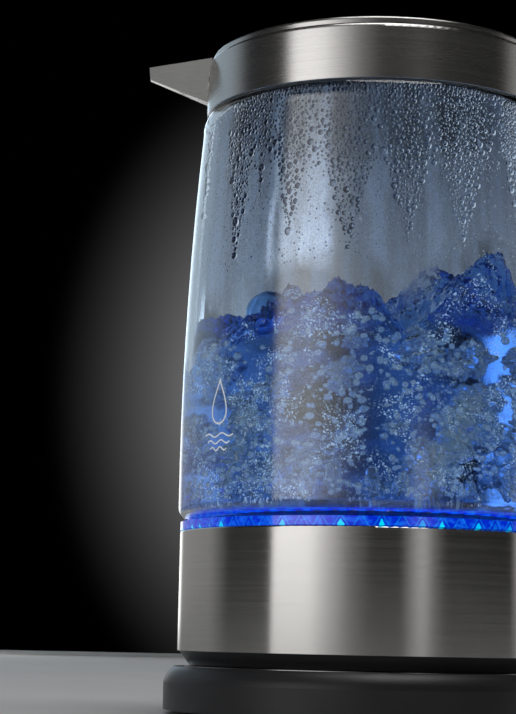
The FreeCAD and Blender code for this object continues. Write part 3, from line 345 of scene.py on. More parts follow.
def air_bubble(name, whiteness):
    """Air inside the water, whitened by bubbles too fine to model, with a little painted glow of its own."""
    shader = Shader(name)
    ripple = shader.noise(900, 2)
    body = shader.simple("BsdfGlass", IOR=1 / WATER_IOR, Roughness=0.0,
                         Normal=shader.bump(ripple, 0.00005, 0.5))
    foam = shader.simple("BsdfDiffuse", Color=colour(0.62, 0.8, 1.0))
    # Painted glow: the bubbles and vapour pockets give off a little light of their own.
    spark = shader.simple("Emission", Color=colour(0.5, 0.75, 1.0), Strength=BUBBLE_GLOW)
    return shader.finish(shader.blend(whiteness, body, shader.together(foam, spark)))


def water_drop():
    """Drops that hang on the inside of the glass.

    Each has painted shade, dark towards its upper left, and a painted highlight, a crescent of its own light
    at its lower right.
    """
    shader = Shader("water_drop")
    ripple = shader.noise(500, 2)
    flat = shader.node("ShaderNodeSeparateXYZ")
    shader.put(flat.inputs[0], shader.node("ShaderNodeTexCoord").outputs["UV"])
    lean = shader.math("SUBTRACT", shader.math("MULTIPLY", flat.outputs[1], 0.9),
                       shader.math("MULTIPLY", flat.outputs[0], 0.4))
    # Painted shade: each drop's glass is tinted dark navy towards its upper left and pale towards its lower
    # right.
    tint = shader.mix(shader.fit(lean, -0.35, 0.1, 0, 1, True),
                      colour(0.03, 0.06, 0.14), colour(0.9, 0.95, 1.0))
    body = shader.simple("BsdfGlass", Color=tint, IOR=WATER_IOR, Roughness=0.0,
                         Normal=shader.bump(ripple, 0.00004, 0.4))
    # Painted highlight: the crescent at the lower right gives off light of its own.
    gleam = shader.simple("Emission", Color=colour(0.78, 0.88, 1.0), Strength=DROP_GLEAM)
    return shader.finish(shader.blend(shader.fit(lean, 0.42, 0.7, 0, 0.9, True), body, gleam))


def mist_film():
    """Condensation too fine to model, in streaks: it blurs and whitens what lies behind.

    It is thinner behind the columns of drops; in one strip at the front left it is denser, with a painted
    highlight, and elsewhere it has a faint painted glow, brighter low down.
    """
    shader = Shader("mist_film")
    streaks = shader.fit(shader.noise(1, 3, (150, 150, 7)), 0.36, 0.64, 0.3, 1)
    specks = shader.fit(shader.noise(1400, 2), 0.35, 0.65, 0.55, 1)
    climb = shader.node("ShaderNodeSeparateXYZ")
    shader.put(climb.inputs[0], shader.node("ShaderNodeTexCoord").outputs["UV"])
    lower_edge = shader.math("ADD", climb.outputs[1], shader.fit(shader.noise(45, 3), 0.3, 0.7, -0.05, 0.05))
    above = shader.fit(lower_edge, 0.05, 0.22, 0, 1, True)
    x, y, z = shader.axes()
    turn = shader.math("ADD", shader.math("ARCTAN2", x, shader.math("MULTIPLY", y, -1.0)),
                       shader.fit(shader.noise(60, 2), 0.3, 0.7, -0.03, 0.03))
    kept = None
    for centre, width, reach in DROP_COLUMNS:
        away = shader.math("ABSOLUTE", shader.math("SUBTRACT", turn, math.radians(centre)))
        edge = shader.fit(away, math.radians(width * 0.75), math.radians(width * 1.15), 0, 1, True)
        foot = SHOULDER - (SHOULDER - WATER_LEVEL) * reach
        below = shader.fit(z, foot - 6 * MM, foot + 6 * MM, 1, 0, True)
        wiped = shader.math("MAXIMUM", edge, below)
        kept = wiped if kept is None else shader.math("MULTIPLY", kept, wiped)
    cleared = shader.fit(kept, 0, 1, 0.5, 1)
    amount = shader.math("MULTIPLY", shader.math("MULTIPLY", streaks, specks),
                         shader.math("MULTIPLY", above, cleared))
    tone = colour(0.66, 0.8, 1.0)
    cloud = shader.blend(0.4, shader.simple("BsdfTranslucent", Color=tone),
                         shader.simple("BsdfDiffuse", Color=tone))
    # Painted highlight: between -34.5 and -4 degrees round the glass, fading from -22, the mist is denser and
    # glows up to 4.2 times as bright.
    dense = shader.math("MULTIPLY", shader.fit(turn, math.radians(-34.5), math.radians(-33), 0, 1),
                        shader.fit(turn, math.radians(-22), math.radians(-4), 1, 0, True))
    # Painted glow, brighter low down by the water than up at the shoulder.
    power = shader.math("MULTIPLY", shader.fit(dense, 0, 1, MIST_GLOW, MIST_GLOW * 4.2),
                        shader.fit(z, WATER_LEVEL, SHOULDER, 1.25, 0.12))
    painted_mist_glow = shader.simple("Emission", Color=colour(0.74, 0.86, 1.0), Strength=power)
    blur = shader.simple("BsdfGlass", Color=colour(0.93, 0.965, 1.0), IOR=1.2, Roughness=FOG_ROUGHNESS)
    film = shader.blend(shader.math("MULTIPLY", amount, 0.9), shader.simple("BsdfTransparent"), blur)
    strength = shader.fit(dense, 0, 1, MIST_STRENGTH, 0.95)
    hazy = shader.blend(shader.math("MULTIPLY", amount, strength), film, shader.together(cloud, painted_mist_glow))
    return shader.finish(hazy)


def white_print():
    """Fired white enamel, a little uneven, with a faint painted glow."""
    shader = Shader("white_print")
    pores = shader.noise(3000, 3)
    shade = shader.mix(shader.fit(pores, 0.3, 0.6, 0, 1), colour(0.62, 0.66, 0.72), colour(0.9, 0.93, 0.97))
    # Painted glow: the print gives off a little light of its own.
    body = shader.principled(Base_Color=shade, Roughness=0.5, Emission_Color=shade, Emission_Strength=0.25)
    return shader.finish(body.outputs[0])


DROP_COLUMNS = [
    # angle, half width in degrees, how far down the glass the column runs (0 at the shoulder, 1 at the water)
    (-47, 4.5, 0.95), (-38, 2.0, 0.6), (-27, 5.0, 0.85), (-8, 7, 0.95), (9.5, 6.5, 0.9), (27, 7, 0.9),
]
PRISMS = 64
WATER_IOR = 1.333
MIST_STRENGTH = 0.75
MIST_GLOW = 0.13
BUBBLE_GLOW = 0.5
FOG_ROUGHNESS = 0.35
DROP_GLEAM = 0.85
RING_INNER_POWER = 1.3

STEEL = (0.62, 0.605, 0.585)
LOOKS = {
    "band": (brushed_steel("band_steel", STEEL, 0.15), ["steel_band"]),
    "collar": (brushed_steel("collar_steel", STEEL, 0.26), ["top_collar", "spout", "lid_cap", "base_trim"]),
    "inner": (brushed_steel("inner_steel", (0.55, 0.55, 0.55), 0.35),
              ["heater_plate", "filter_frame", "filter_mesh"]),
    "zinc": (plain_metal("zinc_steel", (0.5, 0.51, 0.53), 0.34),
             ["base_screws", "housing_screws", "bracket_screw", "arm_screws", "hinge_pin", "switch_pin",
              "trip_pin", "upper_bracket", "hinge_lugs", "hinge_leaf", "lid_springs", "button_spring",
              "snap_discs"]),
    "element": (plain_metal("element_alloy", (0.26, 0.24, 0.23), 0.5), ["heating_element", "element_pins"]),
    "aluminium": (plain_metal("rolled_aluminium", (0.78, 0.79, 0.8), 0.38), ["heat_diffuser"]),
    "brass": (plain_metal("contact_brass", (0.78, 0.58, 0.24), 0.25), ["tower_contacts", "socket_contacts"]),
    "plastic": (moulded("dark_plastic", (0.018, 0.018, 0.02), 0.42),
                ["base_shell", "base_plate", "swivel_tower", "bottom_housing", "handle_outer",
                 "handle_inner", "switch_housing", "switch_cover", "lid_plug", "collar_frame",
                 "control_unit", "terminal_block", "lid_catch", "trip_arm", "steam_cutout"]),
    "gloss": (moulded("gloss_plastic", (0.025, 0.025, 0.028), 0.2, 1200, 0.00002, 0.6),
              ["lid_button", "switch_lever"]),
    "chassis": (moulded("natural_plastic", (0.68, 0.68, 0.66), 0.5), ["chassis"]),
    "silicone": (soft_rubber("silicone", (0.7, 0.72, 0.72), 0.4, 0.3),
                 ["glass_seal", "neck_seal", "lid_gasket", "steam_tube"]),
    "rubber": (soft_rubber("foot_rubber", (0.03, 0.03, 0.03), 0.75), ["foot_ring", "cord_gland"]),
    "board": (moulded("board_laminate", (0.03, 0.2, 0.09), 0.3, 700), ["lamp_board"]),
    "lamps": (moulded("lamp_lens", (0.6, 0.75, 1.0), 0.2, 900), ["lamps"]),
    "glass": (vessel_glass(), ["glass_body"]),
    "ring": (lit_ring(), ["light_ring"]),
}


def dress_nodes():
    """Gives every CAD node its material."""
    for material, names in LOOKS.values():
        for name in names:
            mesh = nodes[name].data
            mesh.materials.clear()
            mesh.materials.append(material)


def button_coil():
    """The lid button's spring, copied into an object with a mesh of its own and carried by the kettle."""
    node = nodes["button_spring"]
    coil = bpy.data.objects.new("button_coil", node.data.copy())
    coil.matrix_world = node.matrix_world
    bpy.context.scene.collection.objects.link(coil)
    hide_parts("button_spring")
    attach(coil, "kettle")
    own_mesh(coil)


# ---------------------------------------------------------------------------------------------------
# Water


WAVES = [
    # angle of the crest, height above the level, half width in degrees
    (-74, -14, 12), (-54, -9, 8), (-38, -3, 6), (-22, 3, 9), (-6, 3, 8),
    (10, -11, 6), (24, 3, 7), (38, 19, 11), (66, 5, 14), (100, -7, 16),
    (135, 8, 13), (165, 12, 15), (-158, 9, 13), (-125, -8, 17), (-92, 7, 12),
]


SURGES = [
    # place across and along, height, width, all in millimetres
    (24, -2, 22, 16), (-32, -8, 18, 11), (-2, 34, 6, 20), (46, 18, 14, 14),
]


def wall_wave(angle):
    """Height of the water line on the glass above the level."""
    degrees = math.degrees(angle)
    total = 0.0
    for crest, height, width in WAVES:
        away = (degrees - crest + 180) % 360 - 180
        total += height * math.exp(-(away / width) ** 2)
    return total * MM


def surface_height(x, y, reach):
    """The water's top: wave crests at the wall, rolling humps and surges further in."""
    angle = math.atan2(x, -y)
    place = Vector((x, y, 0)) * 38
    roll = noise.noise(place) * 7 + noise.noise(place * 2.7) * 4 + abs(noise.noise(place * 6.5)) * 4.2
    chop = abs(noise.noise(place * 15 + Vector((3, 1, 8)))) * 2.4 + noise.noise(place * 34) * 0.9
    surge = 0.0
    for across, along, height, width in SURGES:
        away = math.hypot(x / MM - across, y / MM - along) / width
        surge += height * math.exp(-away ** 2)
    return WATER_LEVEL + wall_wave(angle) * reach ** 2 + (roll + chop + surge * (1 - reach ** 6)) * MM


def make_object(name, vertices, faces, material, smooth=True):
    """A mesh object from vertices and faces, shaded smooth."""
    mesh = bpy.data.meshes.new(name)
    mesh.from_pydata(vertices, [], faces)
    mesh.validate()
    if smooth:
        mesh.polygons.foreach_set("use_smooth", [True] * len(mesh.polygons))
    mesh.materials.append(material)
    made = bpy.data.objects.new(name, mesh)
    bpy.context.scene.collection.objects.link(made)
    return made


def grid_faces(rows, columns, offset=0):
    """Quads between rows of points that close round."""
    faces = []
    for row in range(rows - 1):
        for column in range(columns):
            following = (column + 1) % columns
            low = offset + row * columns
            high = low + columns
            faces.append((low + column, low + following, high + following, high + column))
    return faces


def crumple(place, depth):
    """How far the boil pulls the water in from the glass, close under its surface."""
    broad = abs(noise.noise(place * 60)) * 2.4 + abs(noise.noise(place * 150 + Vector((7, 3, 1)))) * 1.2
    near_top = max(0.0, 1 - depth / (7 * MM))
    return near_top * (broad + abs(noise.noise(place * 330)) * 0.9) * MM


def water_body():
    """The boiling water as one closed skin just inside the glass."""
    around, up, across = 720, 170, 60
    overlap = 0.12 * MM
    foot = GLASS_FOOT + GLASS_WALL - overlap
    vertices = []
    for row in range(up):
        for column in range(around):
            angle = TURN * column / around
            edge = on_wall(angle, WATER_LEVEL, GLASS_WALL - overlap)
            top = surface_height(edge.x, edge.y, 1.0)
            height = foot + (top - foot) * row / (up - 1)
            place = on_wall(angle, height, GLASS_WALL - overlap)
            corner = 3 * MM * max(0.0, 1 - (height - foot) / (3 * MM)) ** 2
            radial = Vector((place.x, place.y, 0)).normalized()
            vertices.append(place - radial * (crumple(place, top - height) + corner))
    rim = len(vertices) - around
    for row in range(1, across):
        reach = 1 - row / across
        for column in range(around):
            outer = vertices[rim + column]
            x, y = outer.x * reach, outer.y * reach
            height = surface_height(x, y, reach)
            blend = reach ** 14
            vertices.append(Vector((x, y, height * (1 - blend) + outer.z * blend)))
    rows = up + across - 1
    faces = grid_faces(rows, around)
    top_centre = len(vertices)
    vertices.append(Vector((0, 0, surface_height(0, 0, 0))))
    last = (rows - 1) * around
    faces += [(last + column, last + (column + 1) % around, top_centre) for column in range(around)]
    foot_centre = len(vertices)
    vertices.append(Vector((0, 0, foot)))
    faces += [((column + 1) % around, column, foot_centre) for column in range(around)]
    made = make_object("water", vertices, faces, boiling_water("boiling_water", 19.0))
    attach(made, "kettle")
    return made


def ball_pattern(detail):
    """Vertices and faces of a unit ball."""
    ball = bmesh.new()
    bmesh.ops.create_icosphere(ball, subdivisions=detail, radius=1.0)
    ball.verts.ensure_lookup_table()
    points = [vertex.co.copy() for vertex in ball.verts]
    faces = [[vertex.index for vertex in face.verts] for face in ball.faces]
    ball.free()
    return points, faces


def join_copies(name, pattern, places, material):
    """One mesh of many copies, each a matrix."""
    points, faces = pattern
    vertices = []
    polygons = []
    for matrix in places:
        start = len(vertices)
        vertices.extend(matrix @ point for point in points)
        polygons.extend([start + index for index in face] for face in faces)
    return make_object(name, vertices, polygons, material)


def bubbles():
    """Bubbles in the water: streams off the heater, and loose ones carried by the boil."""
    chance = random.Random(11)
    fine, coarse = [], []

    def add(angle, height, inward, size):
        wide, deep, tall = (chance.uniform(*limits) for limits in ((0.85, 1.2), (0.85, 1.2), (0.75, 1.1)))
        stretch = Vector((wide, deep, tall)) * size
        place = Matrix.LocRotScale(on_wall(angle, height, GLASS_WALL + inward), None, stretch)
        (coarse if size > 0.6 * MM else fine).append(place)

    low, high = GLASS_FOOT + 7 * MM, WATER_LEVEL - 2 * MM
    for index in range(LOOSE_BUBBLES):
        size = MM * (0.18 + 1.5 * chance.random() ** 6)
        spread = math.pi / 2.2 if index % 3 else math.pi
        angle = chance.uniform(-spread, spread)
        top = high + min(0.0, wall_wave(angle))
        place = Vector((math.sin(angle), math.cos(angle), 0)) * 3.5
        height = low + (top - low) * chance.random()
        if noise.noise(place * 1.3 + Vector((0, 0, height * 55))) < chance.uniform(-0.5, 0.35):
            continue
        add(angle, height, 1.2 * MM + size + 16 * MM * chance.random() ** 2, size)
    for stream in range(STREAMS):
        centre = TURN * (stream + chance.uniform(-0.3, 0.3)) / STREAMS
        for _ in range(STREAM_BUBBLES):
            climb = chance.random() ** 1.6
            size = MM * (0.3 + 0.9 * chance.random() ** 2)
            spread = chance.gauss(0, 0.02 + 0.03 * climb)
            height = GLASS_FOOT + 8 * MM + 30 * MM * climb
            add(centre + spread, height, 4 * MM + 6 * MM * chance.random(), size)
    look = air_bubble("air_bubble", 0.14)
    for name, detail, places in (("fine_air", 1, fine), ("bubbles", 2, coarse)):
        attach(join_copies(name, ball_pattern(detail), places, look), "kettle")


def vapour():
    """Ragged vapour pockets: tall ones that tear off the heater, and folds rolling up to the surface."""
    chance = random.Random(29)
    points, faces = ball_pattern(4)
    vertices = []
    polygons = []

    def add(centre, width, tall, ragged, seed):
        start = len(vertices)
        drift = Vector((seed * 3.1, 0, 0))
        for point in points:
            broad = 0.6 * noise.noise(point * 1.4 + drift) + 0.4 * noise.noise(point * 3.4 + drift)
            swell = 1 + ragged * (broad + 0.16 * abs(noise.noise(point * 9 + drift)))
            vertices.append(centre + Vector((point.x * width, point.y * width, point.z * tall)) * swell)
        polygons.extend([start + corner for corner in face] for face in faces)

    for index in range(TALL_POCKETS):
        angle = TURN * (index + chance.uniform(-0.35, 0.35)) / TALL_POCKETS
        width = chance.uniform(1.8, 3.6) * MM
        tall = width * chance.uniform(1.2, 2.2)
        centre = on_wall(angle, GLASS_FOOT + 6.5 * MM + tall * 1.3, GLASS_WALL + 4 * MM + width * 1.6)
        add(centre, width, tall, 0.7, index)
    for index in range(FOLDS):
        spread = math.pi / 2 if index % 3 else math.pi
        angle = chance.uniform(-spread, spread)
        width = chance.uniform(2.5, 7.5) * MM
        climb = chance.random() ** 0.8
        top = WATER_LEVEL + min(0.0, wall_wave(angle)) - width * 1.2
        height = GLASS_FOOT + 12 * MM + (top - GLASS_FOOT - 12 * MM) * climb
        inward = GLASS_WALL + 2 * MM + width * 1.5 + 22 * MM * chance.random() ** 2
        add(on_wall(angle, height, inward), width, width * chance.uniform(0.5, 1.1), 1.2, 100 + index)
    made = make_object("vapour", vertices, polygons, air_bubble("vapour_pocket", 0.04))
    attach(made, "kettle")


def bubble_clouds():
    """Layers of very fine bubbles at several depths in the water."""
    rows, around = 46, 240
    low = GLASS_FOOT + GLASS_WALL + 3 * MM
    for index, (inward, cells, cover, glow) in enumerate(CLOUDS):
        vertices = []
        for row in range(rows):
            for column in range(around):
                angle = TURN * column / around
                edge = on_wall(angle, WATER_LEVEL, GLASS_WALL + inward)
                top = surface_height(edge.x, edge.y, 1.0) - 3 * MM
                height = low + (top - low) * row / (rows - 1)
                place = on_wall(angle, height, GLASS_WALL + inward)
                wander = noise.noise(place * 60 + Vector((index, 0, 0))) * 2.5 * MM
                vertices.append(place - Vector((place.x, place.y, 0)).normalized() * wander)
        offset = (0.31 * index, 0.17 * index, 0.05 * index)
        look = bubble_cloud_material(f"fine_bubbles_{index}", cells, cover, offset, glow)
        made = make_object(f"fine_bubbles_{index}", vertices, grid_faces(rows, around), look)
        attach(made, "kettle")


def surface_bubble():
    """A clear thin dome of water blown up at the crest on the left."""
    points, faces = ball_pattern(5)
    centre = on_wall(math.radians(-38), WATER_LEVEL - 1 * MM, GLASS_WALL + 9.2 * MM)
    vertices = []
    polygons = []
    for radius, flipped in ((8.6 * MM, False), (7.7 * MM, True)):
        start = len(vertices)
        vertices += [
            centre + point * radius * (1 + 0.05 * noise.noise(point * 1.6)) for point in points
        ]
        polygons += [[start + corner for corner in (reversed(face) if flipped else face)] for face in faces]
    look = boiling_water("dome_water", 60.0, (0.72, 0.86, 1.0))
    made = make_object("surface_bubble", vertices, polygons, look)
    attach(made, "kettle")


LOOSE_BUBBLES = 7500
STREAMS = 30
STREAM_BUBBLES = 26
TALL_POCKETS = 34
FOLDS = 60
CLOUDS = [
    # depth behind the glass, speck scale, cover, glow
    (5 * MM, 600, 0.85, 0.6), (16 * MM, 420, 0.55, 0.2), (34 * MM, 300, 0.45, 0.05),
]


# ---------------------------------------------------------------------------------------------------
# Condensation


def cap_pattern():
    """A drop: a low dome, flat where it lies on the glass."""
    rings, around, flatness = 4, 12, 0.85
    points = [Vector((0, 0, flatness))]
    for ring_index in range(1, rings + 1):
        tilt = math.pi / 2 * ring_index / rings
        for step in range(around):
            turn = TURN * step / around
            points.append(Vector((math.sin(tilt) * math.cos(turn), math.sin(tilt) * math.sin(turn),
                                  flatness * math.cos(tilt))))
    faces = [[0, 1 + step, 1 + (step + 1) % around] for step in range(around)]
    for ring_index in range(rings - 1):
        low = 1 + ring_index * around
        for step in range(around):
            following = (step + 1) % around
            faces.append([low + step, low + around + step, low + around + following, low + following])
    faces.append([1 + (rings - 1) * around + step for step in reversed(range(around))])
    return points, faces


def drop_places():
    """Matrices for the drops: dense columns, with single drops between them."""
    chance = random.Random(5)
    top = SHOULDER + 7 * MM
    low = WATER_LEVEL + 16 * MM
    columns = list(DROP_COLUMNS)
    angle = 48
    while angle < 300:
        columns.append((angle, chance.uniform(1.5, 5), chance.uniform(0.4, 0.85)))
        angle += chance.uniform(11, 20)
    taken = {}
    places = []

    def free(angle, height, size):
        """Whether a drop of this size has room here."""
        x = angle * 0.07
        key = (int(x / (3 * MM)), int(height / (3 * MM)))
        near = [item for dx in (-1, 0, 1) for dz in (-1, 0, 1)
                for item in taken.get((key[0] + dx, key[1] + dz), ())]
        for other_x, other_height, other_size in near:
            if math.hypot(x - other_x, height - other_height) < (size + other_size) * 1.02:
                return False
        taken.setdefault(key, []).append((x, height, size))
        return True

    def add(angle, height, size):
        if not free(angle, height, size):
            return
        place = on_wall(angle, height, GLASS_WALL - 0.04 * MM)
        inward = Vector((-math.sin(angle), math.cos(angle), -0.05)).normalized()
        turn = inward.to_track_quat("Z", "X").to_matrix().to_4x4()
        tall = chance.uniform(0.95, 1.25)
        shape = Matrix.Diagonal((size * tall, size, size * chance.uniform(0.8, 1.1), 1))
        places.append(Matrix.Translation(place) @ turn @ shape)

    for centre, width, reach in columns:
        front = abs((centre + 180) % 360 - 180) < 60
        for _ in range(FRONT_COLUMN_DROPS if front else BACK_COLUMN_DROPS):
            fall = chance.random()
            offset = chance.gauss(0, width * 0.6)
            big = 0.4 + 1.3 * chance.random() ** 1.9 * (0.3 + 0.7 * fall)
            edge = reach * (1 - 0.5 * min(1, abs(offset) / width))
            add(math.radians(centre + offset), top - (top - low) * fall * edge, big * MM)
    for _ in range(FINE_DROPS):
        angle = math.radians(chance.uniform(-75, 75))
        fall = chance.random() ** 1.5
        add(angle, top - (top - low) * fall, MM * (0.12 + 0.3 * chance.random() ** 3))
    for _ in range(BACK_DROPS):
        angle = math.radians(chance.uniform(75, 285))
        add(angle, top - (top - low) * chance.random(), MM * (0.2 + 0.5 * chance.random() ** 3))
    return places


FRONT_COLUMN_DROPS = 2200
BACK_COLUMN_DROPS = 130
FINE_DROPS = 5000
BACK_DROPS = 260
MIST_DEPTH = 0.9 * MM
MIST_THICKNESS = 0.2 * MM


def condensation():
    """The drops, and the mist shell behind them."""
    pattern = cap_pattern()
    drops = join_copies("condensation_drops", pattern, drop_places(), water_drop())
    # Each drop's place across its dome, which sets where its painted shade and painted highlight fall.
    across = drops.data.uv_layers.new(name="across")
    for face in drops.data.polygons:
        for loop_index in face.loop_indices:
            point = pattern[0][drops.data.loops[loop_index].vertex_index % len(pattern[0])]
            across.data[loop_index].uv = (point.x, point.y) if len(face.vertices) < 5 else (0.0, 0.2)
    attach(drops, "kettle")
    rows, around = 26, 180
    high = SHOULDER + 7 * MM
    climbs = [row / (rows - 1) for row in range(rows)]
    skins = [(climb, GLASS_WALL + MIST_DEPTH) for climb in climbs]
    skins += [(climb, GLASS_WALL + MIST_DEPTH + MIST_THICKNESS) for climb in reversed(climbs)]
    vertices = []
    for climb, inward in skins:
        for column in range(around):
            angle = TURN * column / around
            low = WATER_LEVEL + wall_wave(angle) + 3 * MM
            vertices.append(on_wall(angle, low + (high - low) * climb, inward))
    faces = grid_faces(len(skins), around)
    last = (len(skins) - 1) * around
    for column in range(around):
        following = (column + 1) % around
        faces.append((last + column, last + following, following, column))
    film = make_object("mist", vertices, faces, mist_film())
    heights = film.data.uv_layers.new(name="climb")
    for loop in film.data.loops:
        heights.data[loop.index].uv = (0.0, skins[loop.vertex_index // around][0])
    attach(film, "kettle")


# ---------------------------------------------------------------------------------------------------
# Printed mark


def ribbon(points, width, closed):
    """A flat strip of even width along a line, as vertices and faces."""
    count = len(points)
    vertices = []
    for index, point in enumerate(points):
        before = points[index - 1] if closed or index else point
        after = points[(index + 1) % count] if closed or index + 1 < count else point
        along = (after - before).normalized()
        side = Vector((-along.y, along.x)) * width / 2
        vertices += [point + side, point - side]
    runs = count if closed else count - 1
    faces = [
        (2 * index, 2 * index + 1, (2 * index + 3) % (2 * count), (2 * index + 2) % (2 * count))
        for index in range(runs)
    ]
    return vertices, faces


def printed_mark():
    """A water drop over three ripples, printed on the outside of the glass."""
    centre_angle = math.radians(-49)
    base = GLASS_FOOT + 27 * MM
    strokes = []
    steps = 48
    grow = 1.35
    drop = []
    for step in range(steps):
        turn = TURN * step / steps
        pull = math.sin(turn / 2) ** 1.6
        drop.append(Vector((4.6 * MM * math.sin(turn) * pull, 12 * MM + 6.2 * MM * math.cos(turn))))
    strokes.append((drop, 0.5 * MM, True))
    for ripple in range(3):
        width = (6.2 - 1.3 * ripple) * MM
        line = [
            Vector((width * (2 * step / 24 - 1), 2.6 * MM - ripple * 1.9 * MM
                    + 0.5 * MM * math.sin(TURN * step / 12))) for step in range(25)
        ]
        strokes.append((line, 0.42 * MM, False))
    vertices = []
    faces = []
    for line, width, closed in strokes:
        points, quads = ribbon(line, width, closed)
        start = len(vertices)
        for point in points:
            height = base + point.y * grow
            angle = centre_angle + point.x * grow / glass_radius(height)
            vertices.append(on_wall(angle, height, -0.04 * MM))
        faces += [tuple(start + index for index in quad) for quad in quads]
    mark = make_object("printed_mark", vertices, faces, white_print())
    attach(mark, "kettle")


# ---------------------------------------------------------------------------------------------------
# Studio


def stage_material(name, shade, roughness=0.9):
    """Matt paint, faintly mottled."""
    shader = Shader(name)
    mottle = shader.noise(9, 3)
    tone = shader.mix(shader.fit(mottle, 0.3, 0.7, 0, 1), colour(*shade), colour(*[c * 0.94 for c in shade]))
    return shader.finish(shader.principled(Base_Color=tone, Roughness=roughness).outputs[0])


def glow_material(centre):
    """Backdrop: a soft round glow behind the kettle that falls to black."""
    shader = Shader("backdrop_glow")
    x, y, z = shader.axes()
    across = shader.math("SUBTRACT", x, centre[0])
    rise = shader.math("MULTIPLY", shader.math("SUBTRACT", z, centre[1]), GLOW_SQUASH)
    away = shader.math("SQRT", shader.math("ADD", shader.math("POWER", across, 2.0),
                                           shader.math("POWER", rise, 2.0)))
    strength = shader.math("POWER", shader.fit(away, 0.0, GLOW_RADIUS, 1, 0), 2.0)
    return shader.finish(shader.simple("Emission", Color=colour(1.0, 1.0, 1.0),
                                       Strength=shader.math("MULTIPLY", strength, GLOW_STRENGTH)))


GLOW_SQUASH = 0.7
GLOW_RADIUS = 0.4
GLOW_STRENGTH = 0.36
BACKDROP_DISTANCE = 2.4

TENT_RADIUS = 1.9
TENT_GAP = 14 / 360
TENT_BRIGHTEST = 2.2
TENT_LOW = [
    # direction in degrees (0 at the camera, negative to its left), brightness low down
    (-180, 1.0), (-166, 1.7), (-158, 1.7), (-151, 0.32), (-108, 0.30), (-90, 0.03), (-58.7, 0.02),
    (-57.7, 1.55), (-36, 1.5), (-24, 0.75), (-12, 0.2), (0, 0.01), (17, 0.01), (29, 0.72), (36, 0.2),
    (43, 0.01),
    (88, 0.01), (98, 0.9), (150, 1.0), (166, 0.6), (180, 0.6),
]
TENT_HIGH = [
    # the same, above the height of a hand
    (-180, 1.2), (-174, 2.2), (-161, 2.2), (-155, 0.6), (-112, 0.45), (-95, 0.03), (-62, 0.02), (-56, 1.6),
    (-36, 1.5), (-24, 0.8), (-12, 0.25), (2, 0.03), (90, 0.02), (110, 0.4), (140, 0.4), (166, 0.1),
    (180, 0.1),
]


def ramp_around(shader, turn, stops_wanted):
    """Brightness by direction, as a share of the brightest stop."""
    ramp = shader.node("ShaderNodeValToRGB")
    shader.put(ramp.inputs[0], turn)
    stops = ramp.color_ramp.elements
    while len(stops) > 1:
        stops.remove(stops[-1])
    for index, (degrees, value) in enumerate(stops_wanted):
        stop = stops[0] if index == 0 else stops.new((degrees + 180) / 360)
        stop.position = (degrees + 180) / 360
        stop.color = colour(*[value / TENT_BRIGHTEST] * 3)
    return ramp.outputs[0]


def tent_material():
    """Ring of soft light: its brightness changes round the kettle and with height."""
    shader = Shader("light_tent")
    x, y, z = shader.axes()
    angle = shader.math("ARCTAN2", x, shader.math("MULTIPLY", y, -1.0))
    turn = shader.fit(angle, -math.pi, math.pi, 0, 1)
    height = shader.fit(z, 0.2, 0.42, 0, 1, True)
    brightness = shader.mix(height, ramp_around(shader, turn, TENT_LOW), ramp_around(shader, turn, TENT_HIGH))
    cool = shader.fit(angle, math.radians(-120), math.radians(-70), 1, 0)
    cool = shader.math("MULTIPLY", cool, height)
    tint = shader.mix(cool, colour(1.0, 1.0, 1.0), colour(0.7, 0.86, 1.0))
    tinted = shader.node("ShaderNodeMix", data_type="RGBA", blend_type="MULTIPLY")
    shader.put(tinted.inputs["Factor"], 1.0)
    shader.put(tinted.inputs["A"], brightness)
    shader.put(tinted.inputs["B"], tint)
    return shader.finish(shader.simple("Emission", Color=tinted.outputs["Result"],
                                       Strength=shader.fit(z, 0.0, 0.05, 0.0, TENT_BRIGHTEST)))


def plane(name, corners, material):
    """A flat four-cornered piece of the studio."""
    made = make_object(name, corners, [(0, 1, 2, 3)], material, smooth=False)
    return made


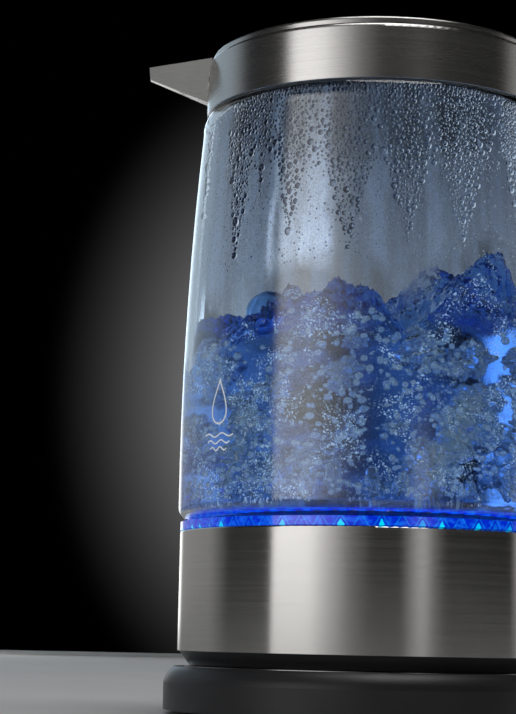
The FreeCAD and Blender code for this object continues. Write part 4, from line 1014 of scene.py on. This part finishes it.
def studio():
    """Floor, backdrop, ring of light and overhead light."""
    floor_size = 6
    plane("floor", [(-floor_size, -floor_size, 0), (floor_size, -floor_size, 0), (floor_size, floor_size, 0),
                    (-floor_size, floor_size, 0)], stage_material("pale_floor", (0.72, 0.72, 0.71)))
    reach = BACKDROP_DISTANCE
    plane("backdrop", [(-5, reach, -0.5), (5, reach, -0.5), (5, reach, 4), (-5, reach, 4)],
          glow_material((-0.134, 0.417)))
    around, height = 120, 1.3
    vertices = [
        (TENT_RADIUS * math.sin(TURN * step / around), -TENT_RADIUS * math.cos(TURN * step / around), level)
        for level in (0.0, height) for step in range(around)
    ]
    walls = [
        face for face in grid_faces(2, around)
        if abs(face[0] - around / 2) > TENT_GAP * around
    ]
    tent = make_object("light_tent", vertices, walls, tent_material())
    tent.visible_camera = False
    overhead = bpy.data.lights.new("overhead", "AREA")
    overhead.shape = "DISK"
    overhead.size = 1.4
    overhead.energy = 14
    lamp = bpy.data.objects.new("overhead", overhead)
    lamp.location = (0.2, -0.2, 2.0)
    lamp.visible_camera = False
    bpy.context.scene.collection.objects.link(lamp)
    world = bpy.data.worlds.new("dim_room")
    world.use_nodes = True
    background = world.node_tree.nodes["Background"]
    background.inputs["Color"].default_value = colour(1.0, 1.0, 1.0)
    background.inputs["Strength"].default_value = 0.015
    bpy.context.scene.world = world


CAMERA_PLACE = Vector((0, -0.8, BAND_TOP - 0.03985))
CAMERA_PITCH, CAMERA_YAW, CAMERA_ROLL = map(math.radians, (7.811, -3.288, 1.181))
CAMERA_LENS = 102.43


def camera():
    """Low camera in front, turned a little to the left and upwards."""
    forward = Vector((math.sin(CAMERA_YAW) * math.cos(CAMERA_PITCH),
                      math.cos(CAMERA_YAW) * math.cos(CAMERA_PITCH), math.sin(CAMERA_PITCH)))
    level_right = Vector((math.cos(CAMERA_YAW), -math.sin(CAMERA_YAW), 0))
    level_up = level_right.cross(forward)
    right = level_right * math.cos(CAMERA_ROLL) + level_up * math.sin(CAMERA_ROLL)
    up = level_up * math.cos(CAMERA_ROLL) - level_right * math.sin(CAMERA_ROLL)
    data = bpy.data.cameras.new("camera")
    data.lens = CAMERA_LENS
    data.clip_start = 0.01
    data.clip_end = 50
    made = bpy.data.objects.new("camera", data)
    turn = Matrix((right, up, -forward)).transposed().to_4x4()
    made.matrix_world = Matrix.Translation(CAMERA_PLACE) @ turn
    bpy.context.scene.collection.objects.link(made)
    bpy.context.scene.camera = made


bpy.context.scene.view_settings.view_transform = "Standard"
camera()
dress_nodes()
button_coil()
water_body()
bubbles()
vapour()
bubble_clouds()
surface_bubble()
condensation()
printed_mark()
studio()
